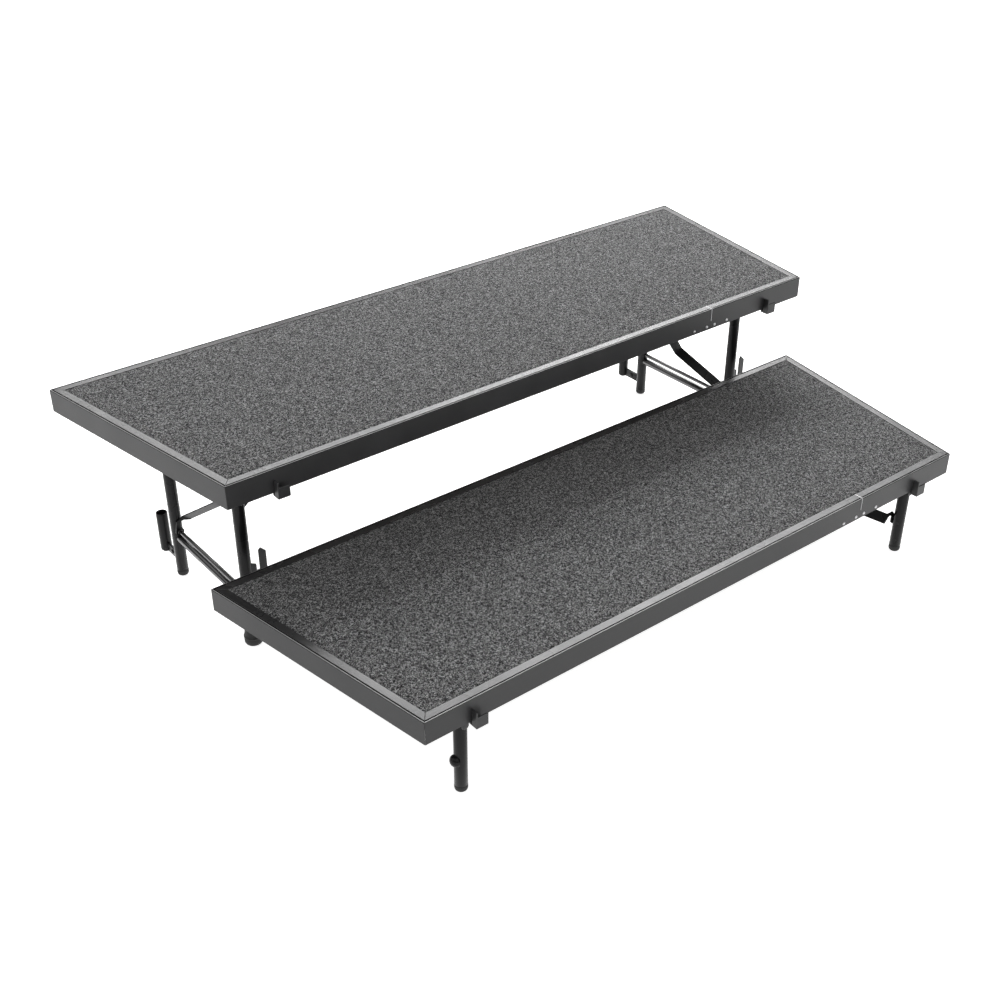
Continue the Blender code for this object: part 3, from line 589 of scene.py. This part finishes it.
def mark_rim(obj: Object, top: float) -> None:
    """Marks the outermost strip of a rail's top for a painted highlight, a light grey line along its rim."""
    mesh = obj.data
    upright = [face for face in mesh.polygons if abs(face.normal.z) < 0.1]
    outer = max(upright, key=lambda face: face.area)
    way = outer.normal.copy()
    reach = way.dot(outer.center) - RIM_WIDTH
    rim = [face.center.z > top - RIM_DEPTH and way.dot(face.center) > reach for face in mesh.polygons]
    mark_faces(mesh, RIM_HIGHLIGHT_ATTRIBUTE, rim)


def join(*objects: Object) -> Object:
    """Joins objects into the first one, and returns it."""
    if len(objects) > 1:
        pick(*objects)
        bpy.ops.object.join()
    return objects[0]


def copy_to(obj: Object, shift: Vector) -> Object:
    """Copies a settled object, with its own mesh, to a shifted place."""
    copied = show(obj.copy())
    copied.data = obj.data.copy()
    copied.data.transform(Matrix.Translation(shift))
    return copied


def rod(start: Vector, end: Vector, radius: float, rounding: float = 0.0) -> Object:
    """A round bar between two points.

    Args:
        start: the middle of one end.
        end: the middle of the other end.
        radius: the bar's radius.
        rounding: the width of the bevel on its two ends, or 0 for none.

    Returns:
        The settled object.
    """
    along = end - start
    bpy.ops.mesh.primitive_cylinder_add(
        vertices=ROUND_SIDES,
        radius=radius,
        depth=along.length,
        location=(start + end) / 2,
        rotation=Vector((0, 0, 1)).rotation_difference(along).to_euler(),
    )
    obj = settle(bpy.context.object)
    if rounding:
        round_edges(obj, rounding, 3)
    return obj


def block(low: Point, high: Point) -> Object:
    """A box between two corners, as a start for a shaped piece."""
    low_corner, high_corner = Vector(low), Vector(high)
    bpy.ops.mesh.primitive_cube_add(size=1, location=(low_corner + high_corner) / 2)
    obj = bpy.context.object
    obj.scale = high_corner - low_corner
    return settle(obj)


def dome(root: Vector, outward: Vector, radius: float, height: float, sides: int = 32) -> Object:
    """A closed domed head.

    Args:
        root: the middle of its flat back.
        outward: the way that it faces, along one axis.
        radius: the radius of its back.
        height: how far it stands out.
        sides: the number of faces round it.

    Returns:
        The settled object.
    """
    bpy.ops.mesh.primitive_uv_sphere_add(segments=sides, ring_count=sides // 2, radius=radius, location=root)
    head = bpy.context.object
    head.scale = [height / radius if part else 1 for part in outward]
    settle(head)
    with editing(head):
        bpy.ops.mesh.bisect(plane_co=root, plane_no=-outward, use_fill=True, clear_outer=True)
    return head


def turned(profile: Profile, centre: Point) -> Object:
    """Spins a profile about an upright axis.

    Args:
        profile: points of radius and height, from the top of the axis down its outside.
        centre: the foot of the axis.

    Returns:
        The settled, closed object.
    """
    mesh = bpy.data.meshes.new("turned")
    line = [(index, index + 1) for index in range(len(profile) - 1)]
    mesh.from_pydata([(radius, 0.0, height) for radius, height in profile], line, [])
    obj = show(bpy.data.objects.new("turned", mesh))
    with editing(obj):
        bpy.ops.mesh.spin(steps=ROUND_SIDES, angle=2 * math.pi, center=(0, 0, 0), axis=(0, 0, 1))
        bpy.ops.mesh.select_all(action="SELECT")
        bpy.ops.mesh.remove_doubles(threshold=MERGE_DISTANCE)
        bpy.ops.mesh.normals_make_consistent(inside=False)
    obj.location = centre
    return settle(obj)


def copy_of_node(node: str) -> Object:
    """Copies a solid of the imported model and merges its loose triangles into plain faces."""
    source = frame["nodes"][node]
    obj = show(bpy.data.objects.new(f"{node}_copy", source.data.copy()))
    obj.data.materials.clear()
    with editing(obj):
        bpy.ops.mesh.remove_doubles(threshold=MERGE_DISTANCE)
        bpy.ops.mesh.dissolve_limited(angle_limit=math.radians(0.8))
        bpy.ops.mesh.customdata_custom_splitnormals_clear()
    return obj


def middle(node: str) -> Vector:
    """The middle of a solid's box."""
    low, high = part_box(node)
    return (low + high) / 2


BODY_OF_NODE = {
    node: body for body, nodes in frame["record"]["behaviour"]["bodies"].items() for node in nodes
}


@dataclass
class Dresser:
    """Gives finished pieces their material and name, and puts them on their body."""

    finishes: dict[str, Material]

    def coat(self, obj: Object, slot: str) -> None:
        """Gives an object the finish of this name."""
        obj.data.materials.clear()
        obj.data.materials.append(self.finishes[slot])

    def place(self, obj: Object, name: str, slot: str, node: str) -> Object:
        """Finishes a piece that rides along with a solid, and returns it."""
        obj.name = name
        obj.data.name = name
        self.coat(obj, slot)
        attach(obj, BODY_OF_NODE[node])
        log.info("%s rides along with %s", name, node)
        return obj

    def stand_for(self, obj: Object, name: str, slot: str, node: str) -> Object:
        """Finishes a piece that is shown in place of a solid, and returns it."""
        self.place(obj, name, slot, node)
        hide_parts(node)
        return obj

    def keep(self, node: str, slot: str) -> None:
        """Keeps a solid as it is, with the finish of a material slot."""
        self.coat(frame["nodes"][node], slot)
        log.info("%s keeps its own shape", node)

    def refine(self, node: str, ending: str, slot: str, width: float, segments: int = 2) -> Object:
        """Shows a copy of a solid with rounded edges in its place.

        Args:
            node: the solid's node.
            ending: what the new piece's name adds to the node's.
            slot: the material slot.
            width: the bevel's width in metres.
            segments: the number of faces across the bevel.

        Returns:
            The finished piece.
        """
        obj = copy_of_node(node)
        round_edges(obj, width, segments)
        even_normals(smooth(obj))
        return self.stand_for(obj, f"{node}_{ending}", slot, node)


# Sub-assemblies


@dataclass(frozen=True)
class Plan:
    """Where the main pieces of one unit are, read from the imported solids."""

    unit: str
    front_y: float
    rail_bottom: float
    deck_top: float
    seam_x: float
    leg_x: float
    front_leg_y: float
    rear_leg_y: float
    has_crossbar: bool
    rod_word: str
    rod_z: float

    @classmethod
    def read(cls, unit: str) -> "Plan":
        """Reads the plan of the upper or the lower unit."""
        rail_low, rail_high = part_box(f"{unit}_front_rail_short")
        hinge = middle(f"{unit}_right_hinge_rod")
        has_crossbar = unit == "upper"
        rod_word = "brace_rod" if has_crossbar else "brace_pin"
        return cls(
            unit=unit,
            front_y=rail_low.y,
            rail_bottom=rail_low.z,
            deck_top=rail_high.z,
            seam_x=rail_low.x,
            leg_x=hinge.x,
            front_leg_y=middle(f"{unit}_right_front_leg").y,
            rear_leg_y=middle(f"{unit}_right_rear_leg").y,
            has_crossbar=has_crossbar,
            rod_word=rod_word,
            rod_z=middle(f"{unit}_right_{rod_word}").z,
        )

    def leg_y(self, end: End) -> float:
        """The depth at which the front or the rear legs stand."""
        return self.front_leg_y if end is End.FRONT else self.rear_leg_y


@dataclass
class EdgeFrame:
    """The mitred edge frame of one deck, with its rivets, hooks, board and splice plate."""

    plan: Plan
    rail_rounding: float = 0.0005
    hook_rounding: float = 0.0008
    rivet_places: tuple[float, ...] = (-0.046, -0.011, 0.011, 0.046)
    rivet_from_bottom: float = 0.0074
    dome_radius: float = 0.0032
    dome_height: float = 0.0018
    seam_width: float = 0.0008
    seam_drop: float = 0.026
    lip_width: float = 0.018
    proud: float = 0.0003

    @property
    def splice_plate(self) -> str:
        """The node behind the seam."""
        return f"{self.plan.unit}_splice_plate"

    def dress(self, dresser: Dresser) -> None:
        """Builds and finishes every piece of the edge frame."""
        unit = self.plan.unit
        for rail in ("front_rail_long", "front_rail_short", "rear_rail", "left_end_rail", "right_end_rail"):
            coated = dresser.refine(f"{unit}_{rail}", "coated", "frame", self.rail_rounding, 3)
            # The groove gets painted shade.
            mark_groove(coated, self.plan.deck_top)
            # Every rail but the rear one gets a painted highlight along its outer rim.
            if rail != "rear_rail":
                mark_rim(coated, self.plan.deck_top)
        for side in Side:
            dresser.refine(f"{unit}_{side.word}_front_hook", "coated", "frame", self.hook_rounding)
        dresser.keep(f"{unit}_deck_board", "board")
        dresser.keep(self.splice_plate, "steel")
        self.rivets(dresser)
        self.seam(dresser)

    def seam(self, dresser: Dresser) -> None:
        """The uncoated cut edge of the metal that shows at the seam, on the face and across the lip."""
        half = self.seam_width / 2
        x, y, top = self.plan.seam_x, self.plan.front_y, self.plan.deck_top
        face = block((x - half, y - self.proud, top - self.seam_drop), (x + half, y, top + self.proud))
        lip = block((x - half, y, top), (x + half, y + self.lip_width, top + self.proud))
        dresser.place(join(face, lip), f"{self.plan.unit}_seam_edge", "steel", self.splice_plate)

    def rivets(self, dresser: Dresser) -> None:
        """Puts a bright dome over each rivet of the seam."""
        height = self.plan.rail_bottom + self.rivet_from_bottom
        start = Vector((self.plan.seam_x + self.rivet_places[0], self.plan.front_y, height))
        first = smooth(dome(start, Vector((0, -1, 0)), self.dome_radius, self.dome_height, 24))
        shifts = [Vector((place - self.rivet_places[0], 0, 0)) for place in self.rivet_places[1:]]
        domes = join(first, *[copy_to(first, shift) for shift in shifts])
        dresser.place(domes, f"{self.plan.unit}_rivet_heads", "steel", self.splice_plate)


@dataclass
class CarpetPile:
    """The loop-pile carpet laid on one deck, inside the lip of the edge frame."""

    plan: Plan
    spacing: float = 0.0036
    unevenness: float = 0.0011
    lump_size: float = 0.006
    rim_drop: float = 0.0016
    rim_inset: float = 0.0008

    def dress(self, dresser: Dresser) -> None:
        node = f"{self.plan.unit}_deck_carpet"
        corners = [vertex.co for vertex in frame["nodes"][node].data.vertices]
        low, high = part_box(node)
        front_half = max(corner.x for corner in corners if corner.y < low.y + MERGE_DISTANCE)
        carpet = self.grid(front_half, low, high)
        self.roughen(carpet)
        self.close_rim(carpet, low.z)
        smooth(carpet, 60.0)
        dresser.stand_for(carpet, f"{self.plan.unit}_carpet_pile", "carpet", node)

    def grid(self, front_half: float, low: Vector, high: Vector) -> Object:
        """A fine grid with the deck's tapered outline, at the height of the pile's top.

        Args:
            front_half: half of the outline's front edge.
            low: the lowest corner of the carpet's solid.
            high: its highest corner.

        Returns:
            The grid.
        """
        depth = high.y - low.y
        bpy.ops.mesh.primitive_grid_add(
            x_subdivisions=round(2 * high.x / self.spacing),
            y_subdivisions=round(depth / self.spacing),
            size=1,
        )
        grid = bpy.context.object
        for vertex in grid.data.vertices:
            share = vertex.co.y + 0.5
            half = front_half + (high.x - front_half) * share
            vertex.co = (2 * half * vertex.co.x, low.y + depth * share, high.z - self.unevenness / 2)
        return grid

    def roughen(self, carpet: Object) -> None:
        """Raises and lowers the pile in lumps of about one loop."""
        lumps = bpy.data.textures.new(f"{self.plan.unit}_pile_lumps", "CLOUDS")
        lumps.noise_scale = self.lump_size
        lumps.noise_depth = 1
        displace = carpet.modifiers.new("Pile", "DISPLACE")
        displace.texture = lumps
        displace.texture_coords = "LOCAL"
        displace.direction = "Z"
        displace.strength = self.unevenness
        pick(carpet)
        bpy.ops.object.modifier_apply(modifier=displace.name)

    def close_rim(self, carpet: Object, bottom: float) -> None:
        """Rolls the pile down at its rim and closes the carpet's back."""
        with editing(carpet) as form:
            rim = [vertex for vertex in form.verts if vertex.is_boundary]
            for vertex in rim:
                vertex.co.z -= self.rim_drop
            bpy.ops.mesh.select_mode(type="EDGE")
            bpy.ops.mesh.select_all(action="DESELECT")
            bpy.ops.mesh.select_non_manifold(extend=False)
            bpy.ops.mesh.extrude_edges_move(TRANSFORM_OT_translate={"value": (0, 0, -self.rim_inset)})
            for vertex in form.verts:
                if vertex.select:
                    vertex.co.z = bottom
            bpy.ops.mesh.edge_face_add()
            bmesh.update_edit_mesh(carpet.data)


@dataclass
class LegFrame:
    """One folding leg frame: legs, feet, strip brace, its rod or pin, hinge channel and hinge rod.

    The tall unit's frames have a crossbar too.
    """

    plan: Plan
    side: Side
    rim_rounding: float = 0.0005
    open_end: float = 0.03
    bolt_radius: float = 0.011
    bolt_height: float = 0.008
    bead_radius: float = 0.0016
    bead_ripple: float = 0.0002
    bead_ripples: int = 16
    cap_radius: float = 0.0068
    cap_thickness: float = 0.0026
    cap_overhang: float = 0.0004
    nut_radius: float = 0.0052
    nut_thickness: float = 0.0012
    brace_thickness: float = 0.003
    brace_gap: float = 0.0005
    rivet_radius: float = 0.0028
    rivet_height: float = 0.0014
    rivet_drop: float = 0.0175
    web_thickness: float = 0.0025
    screw_radius: float = 0.0042
    screw_height: float = 0.0018
    screw_margin: float = 0.03
    screws: int = 5
    foot_shoulder: float = 0.0001

    @property
    def label(self) -> str:
        """The start of every name in this frame."""
        return f"{self.plan.unit}_{self.side.word}"

    @property
    def leg_x(self) -> float:
        """The middle of this frame's legs."""
        return -self.side.value * self.plan.leg_x

    @property
    def braced_end(self) -> End:
        """The leg that the strip brace stands beside."""
        return End.REAR if self.side is Side.LEFT else End.FRONT

    def dress(self, dresser: Dresser) -> None:
        """Builds and finishes every piece of the leg frame."""
        for end in End:
            self.leg(end, dresser)
            self.foot_tip(end, dresser)
        if self.plan.has_crossbar:
            self.crossbar(dresser)
        self.brace_rod(dresser)
        dresser.refine(f"{self.label}_brace", "painted", "tube", 0.0006, 3)
        self.channel(dresser)
        self.hinge_rod(dresser)

    def leg(self, end: End, dresser: Dresser) -> None:
        """A tube, open at its top, with its bolt head or rivet where the photograph shows one."""
        node = f"{self.label}_{end.word}_leg"
        low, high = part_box(node)
        y = self.plan.leg_y(end)
        tube = rod(Vector((self.leg_x, y, low.z)), Vector((self.leg_x, y, high.z)), LEG_RADIUS)
        sink_end(tube, 1, LEG_WALL, self.open_end)
        round_edges(tube, self.rim_rounding, 2, 50.0)
        pieces = [tube]
        if self.plan.unit == "lower" and end is not self.braced_end:
            outward = Vector((-self.side.value, 0, 0))
            root = Vector((self.leg_x, y, self.plan.rod_z)) + (LEG_RADIUS - LEG_WALL) * outward
            pieces.append(dome(root, outward, self.bolt_radius, self.bolt_height + LEG_WALL))
        dresser.stand_for(smooth(join(*pieces)), f"{node}_painted", "tube", node)
        if self.plan.unit == "lower" and end is End.FRONT:
            root = Vector((self.leg_x + LEG_RADIUS - LEG_WALL / 2, y, self.plan.rod_z - self.rivet_drop))
            head = dome(root, Vector((1, 0, 0)), self.rivet_radius, self.rivet_height + LEG_WALL / 2)
            dresser.place(smooth(head), f"{node}_rivet", "steel", node)

    def bar(
        self, dresser: Dresser, word: str, radius: float, rounding: float, slot: str
    ) -> tuple[Vector, Vector]:
        """Shows a round bar that lies front to rear.

        Args:
            dresser: what finishes the bar.
            word: the end of its node's name.
            radius: its radius.
            rounding: the width of the bevel on its two ends.
            slot: its finish.

        Returns:
            The middles of its front and rear ends.
        """
        node = f"{self.label}_{word}"
        low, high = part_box(node)
        height = (low.z + high.z) / 2
        start, end = (Vector((self.leg_x, y, height)) for y in (low.y, high.y))
        name = f"{node}_plated" if slot == "steel" else f"{node}_painted"
        dresser.stand_for(smooth(rod(start, end, radius, rounding)), name, slot, node)
        return start, end

    def crossbar(self, dresser: Dresser) -> None:
        """The tube between the two legs, with a weld bead at the end where no brace folds past it."""
        node = f"{self.label}_crossbar"
        start, _ = self.bar(dresser, "crossbar", CROSSBAR_RADIUS, 0.0004, "bar")
        bead = self.weld_bead(End(-self.braced_end.value), start.z)
        dresser.place(smooth(bead, 60.0), f"{node}_welds", "tube", node)

    def weld_bead(self, end: End, height: float) -> Object:
        """A rippled bead that follows the leg's round wall, where the crossbar meets it."""
        place = Vector((self.leg_x, self.plan.leg_y(end), height))
        bpy.ops.mesh.primitive_torus_add(
            location=place,
            rotation=(math.pi / 2, 0, 0),
            major_segments=48,
            minor_segments=10,
            major_radius=CROSSBAR_RADIUS,
            minor_radius=self.bead_radius,
        )
        bead = settle(bpy.context.object)
        for vertex in bead.data.vertices:
            across = min(abs(vertex.co.x - place.x), LEG_RADIUS)
            turn = math.atan2(vertex.co.z - place.z, vertex.co.x - place.x)
            ripple = self.bead_ripple * math.sin(self.bead_ripples * turn)
            vertex.co.y += end.value * (math.sqrt(LEG_RADIUS**2 - across**2) + ripple)
        return bead

    def brace_rod(self, dresser: Dresser) -> None:
        """The thin rod or short pin of the strip brace, with a push nut that keeps the brace on it."""
        node = f"{self.label}_{self.plan.rod_word}"
        self.bar(dresser, self.plan.rod_word, BRACE_ROD_RADIUS, 0.0008, "bar")
        outward = Vector((0, self.braced_end.value, 0))
        reach = LEG_RADIUS + 2 * self.brace_gap + self.brace_thickness
        back = Vector((self.leg_x, self.plan.leg_y(self.braced_end), self.plan.rod_z)) + reach * outward
        nut = rod(back, back + self.nut_thickness * outward, self.nut_radius, 0.0004)
        dresser.place(smooth(nut), f"{node}_push_nut", "bar", node)

    def channel(self, dresser: Dresser) -> None:
        """The hinge channel under the board, with its wood screws."""
        node = f"{self.label}_leg_channel"
        dresser.refine(node, "coated", "frame", 0.0005)
        low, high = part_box(node)
        start = Vector((self.leg_x, low.y + self.screw_margin, high.z - self.web_thickness))
        first = rod(start - Vector((0, 0, self.screw_height)), start, self.screw_radius, 0.0006)
        sink_end(first, -1, self.screw_radius / 3, self.screw_height / 2)
        smooth(first)
        pitch = (high.y - low.y - 2 * self.screw_margin) / (self.screws - 1)
        copies = [copy_to(first, Vector((0, pitch * index, 0))) for index in range(1, self.screws)]
        dresser.place(join(first, *copies), f"{self.label}_channel_screws", "steel", node)

    def hinge_rod(self, dresser: Dresser) -> None:
        """The rod that the legs fold on, with a rounded cap on each end."""
        node = f"{self.label}_hinge_rod"
        start, end = self.bar(dresser, "hinge_rod", HINGE_ROD_RADIUS, 0.0006, "steel")
        overhang, thickness = (Vector((0, depth, 0)) for depth in (self.cap_overhang, self.cap_thickness))
        first = rod(start - overhang, start - overhang + thickness, self.cap_radius, 0.0007)
        caps = join(first, copy_to(first, end - start + 2 * overhang - thickness))
        dresser.place(smooth(caps), f"{node}_caps", "frame", node)

    def foot_tip(self, end: End, dresser: Dresser) -> None:
        """The moulded tip under a leg: a slim one, or a wide one with a ring."""
        node = f"{self.label}_{end.word}_foot_tip"
        wide = self.plan.unit == "upper" and end is End.FRONT
        profile = self.wide_foot() if wide else self.slim_foot()
        tip = turned(profile, (self.leg_x, self.plan.leg_y(end), 0))
        round_edges(tip, 0.0004, 2, 40.0)
        dresser.stand_for(smooth(tip, 45.0), f"{node}_moulded", "rubber", node)

    def slim_foot(self) -> Profile:
        """The profile of a tip that is as wide as the tube, with a small shoulder."""
        outer = LEG_RADIUS + self.foot_shoulder
        return [(0, 0.014), (0.0094, 0.014), (0.0094, 0.0121), (outer, 0.0121), *toe(outer, 0.0062, 0.0062)]

    def wide_foot(self) -> Profile:
        """The profile of a tip like a cup, with a moulded ring round its middle."""
        mouth = LEG_RADIUS + 0.0004
        neck = [(mouth, 0.0335), (0.0142, 0.0337), (0.0146, 0.0310), (0.0157, 0.0215)]
        ring = [
            (0.0160 + 0.0015 * math.sin(turn), 0.017 + 0.0022 * math.cos(turn))
            for turn in steps(0.1, math.pi - 0.1, 8)
        ]
        return [(0, 0.0125), (mouth, 0.0125), *neck, *ring, (0.0166, 0.0135), *toe(0.0169, 0.0115, 0.0075)]


def steps(start: float, end: float, count: int) -> list[float]:
    """Evenly spaced values from a start to an end, both included."""
    return [start + (end - start) * index / count for index in range(count + 1)]


def toe(radius: float, flat: float, height: float) -> Profile:
    """A rounded toe from a radius at a height down to a flat sole, ending on the axis."""
    turns = steps(0, math.pi / 2, 8)
    curve = [(flat + (radius - flat) * math.cos(turn), height * (1 - math.sin(turn))) for turn in turns]
    return [*curve, (0, 0)]


@dataclass
class LinkingParts:
    """The socket behind a rear leg and the forked plate on a front leg of the tall unit."""

    plan: Plan
    side: Side
    floor_thickness: float = 0.004
    link_thickness: float = 0.005
    link_half_height: float = 0.0095
    link_z: float = 0.0356
    link_gap: float = 0.0002
    bolt_radius: float = 0.0045
    bolt_height: float = 0.0022

    def dress(self, dresser: Dresser) -> None:
        """Builds and finishes both pieces and the bolt of the link plate."""
        label = f"{self.plan.unit}_{self.side.word}"
        dresser.refine(f"{label}_fork", "coated", "frame", 0.0006)
        self.socket(label, dresser)

    def socket(self, label: str, dresser: Dresser) -> None:
        """The open socket tube with a rolled rim, and its link plate."""
        node = f"{label}_socket"
        low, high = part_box(node)
        x, y = -self.side.value * self.plan.leg_x, high.y - LEG_RADIUS
        inner, roll = LEG_RADIUS - LEG_WALL, LEG_WALL / 2
        top = high.z - low.z - roll
        rim = [
            (LEG_RADIUS - roll + roll * math.sin(turn), top + roll * math.cos(turn))
            for turn in steps(-math.pi / 2, math.pi / 2, 6)
        ]
        profile = [(0, self.floor_thickness), (inner, self.floor_thickness), *rim]
        tube = turned([*profile, *toe(LEG_RADIUS, 0.0055, 0.0067)], (x, y, low.z))
        half, leg_y = self.link_thickness / 2, self.plan.rear_leg_y
        plate = block(
            (x - half, leg_y + LEG_RADIUS + self.link_gap, self.link_z - self.link_half_height),
            (x + half, y - LEG_RADIUS + LEG_WALL, self.link_z + self.link_half_height),
        )
        round_edges(plate, 0.0006)
        dresser.stand_for(smooth(join(tube, plate)), f"{node}_painted", "tube", node)
        middle_of_link = Vector((x, (leg_y + y) / 2, self.link_z))
        reach = Vector((half + self.bolt_height, 0, 0))
        bolt = rod(middle_of_link - reach, middle_of_link + reach, self.bolt_radius, 0.0008)
        dresser.place(smooth(bolt), f"{label}_link_bolt", "tube", node)


# Studio


@dataclass(frozen=True)
class Softbox:
    """A rectangular studio light that faces a point."""

    name: str
    place: Point
    target: Point
    width: float
    height: float
    radiance: float

    def build(self) -> None:
        """Adds the light. Its power gives its face the stated radiance."""
        lamp = bpy.data.lights.new(self.name, "AREA")
        lamp.shape = "RECTANGLE"
        lamp.size = self.width
        lamp.size_y = self.height
        lamp.energy = self.radiance * math.pi * self.width * self.height
        obj = show(bpy.data.objects.new(self.name, lamp))
        obj.location = self.place
        towards = Vector(self.target) - Vector(self.place)
        obj.rotation_euler = towards.to_track_quat("-Z", "Y").to_euler()


@dataclass
class Studio:
    """The white studio, its lights and the camera at the photograph's angle."""

    camera_place: Point = (-1.470, -1.70545, 1.523)
    azimuth: float = -38.43
    elevation: float = 32.09
    lens: float = 48.84
    floor_size: float = 60.0
    floor_glow: float = 0.86
    sky_level: float = 0.52
    horizon_level: float = 0.2
    softboxes: tuple[Softbox, ...] = (
        Softbox("overhead_softbox", (2.7, 2.68, 2.7), (2.7, 2.68, 0.0), 4.4, 2.15, 7.5),
        Softbox("rear_core", (2.9, 3.4, 2.65), (2.9, 3.4, 0.0), 1.7, 0.5, 10.0),
        Softbox("front_core", (2.25, 1.9, 2.65), (2.25, 1.9, 0.0), 1.4, 0.5, 8.0),
        Softbox("overhead_wing", (0.8, 4.6, 2.7), (0.8, 4.6, 0.0), 1.0, 1.7, 6.0),
        Softbox("left_strip", (-2.9, 0.4, 1.3), (0.0, 0.1, 0.2), 0.5, 1.8, 1.8),
        Softbox("front_strip", (0.9, -3.0, 1.2), (0.2, -0.2, 0.2), 0.5, 1.6, 2.2),
    )

    def build(self) -> None:
        """Builds the whole studio."""
        bpy.context.scene.view_settings.view_transform = "Standard"
        self.camera()
        self.floor()
        self.world()
        for softbox in self.softboxes:
            softbox.build()

    def camera(self) -> None:
        """Adds the camera."""
        lens = bpy.data.cameras.new("camera")
        lens.lens = self.lens
        lens.sensor_width = 36.0
        camera = show(bpy.data.objects.new("camera", lens))
        camera.location = self.camera_place
        turn, lift = math.radians(self.azimuth), math.radians(self.elevation)
        back = Vector((math.sin(turn) * math.cos(lift), -math.cos(turn) * math.cos(lift), math.sin(lift)))
        camera.rotation_euler = (-back).to_track_quat("-Z", "Y").to_euler()
        bpy.context.scene.camera = camera

    def seen_directly(self, nodes: NodeTree) -> Socket:
        """A mask of the rays from the camera, from glossy faces and through glass."""
        path = nodes.add("LightPath").outputs
        mask = path["Is Camera Ray"]
        for name in ("Is Glossy Ray", "Is Transmission Ray"):
            mask = nodes.calculate("MAXIMUM", mask, path[name])
        return mask

    def floor(self) -> None:
        """Adds the pale floor, which glows for the camera and keeps a soft shadow."""
        bpy.ops.mesh.primitive_plane_add(size=self.floor_size)
        floor = bpy.context.object
        floor.name = "studio_floor"
        shader = Shader("studio_floor")
        fill(shader.surface, {"Base Color": (0.8, 0.8, 0.8, 1.0), "Emission Color": WHITE})
        fill(shader.surface, {"Roughness": 1.0, "Specular IOR Level": 0.0})
        glow = shader.calculate("MULTIPLY", self.seen_directly(shader), self.floor_glow)
        shader.feed(Emission_Strength=glow)
        floor.data.materials.append(shader.material)

    def world(self) -> None:
        """A white surround that is a little dimmer near the horizon, where glossy faces see it."""
        world = bpy.data.worlds.new("white_surround")
        bpy.context.scene.world = world
        world.use_nodes = True
        nodes = NodeTree(world.node_tree)
        path = nodes.add("LightPath").outputs
        parts = nodes.add("SeparateXYZ")
        height = nodes.remap(parts.outputs["Z"], From_Min=0.40, From_Max=0.47, To_Min=self.horizon_level)
        glossy = nodes.add("Mix", A=self.sky_level)
        seen = nodes.add("Mix", B=1.0)
        surround = world.node_tree.nodes["Background"]
        nodes.link(nodes.add("TexCoord").outputs["Generated"], parts.inputs["Vector"])
        nodes.link(path["Is Glossy Ray"], glossy.inputs["Factor"])
        nodes.link(height, glossy.inputs["B"])
        nodes.link(path["Is Camera Ray"], seen.inputs["Factor"])
        nodes.link(glossy.outputs["Result"], seen.inputs["A"])
        nodes.link(seen.outputs["Result"], surround.inputs["Strength"])
        fill(surround, {"Color": WHITE})


def main() -> None:
    """Builds the studio and dresses both units."""
    Studio().build()
    dresser = Dresser(make_finishes())
    for unit in ("upper", "lower"):
        plan = Plan.read(unit)
        EdgeFrame(plan).dress(dresser)
        CarpetPile(plan).dress(dresser)
        for side in Side:
            LegFrame(plan, side).dress(dresser)
            if unit == "upper":
                LinkingParts(plan, side).dress(dresser)


if __name__ == "__main__":
    logging.basicConfig(level=logging.INFO, format="%(name)s: %(message)s")
    main()
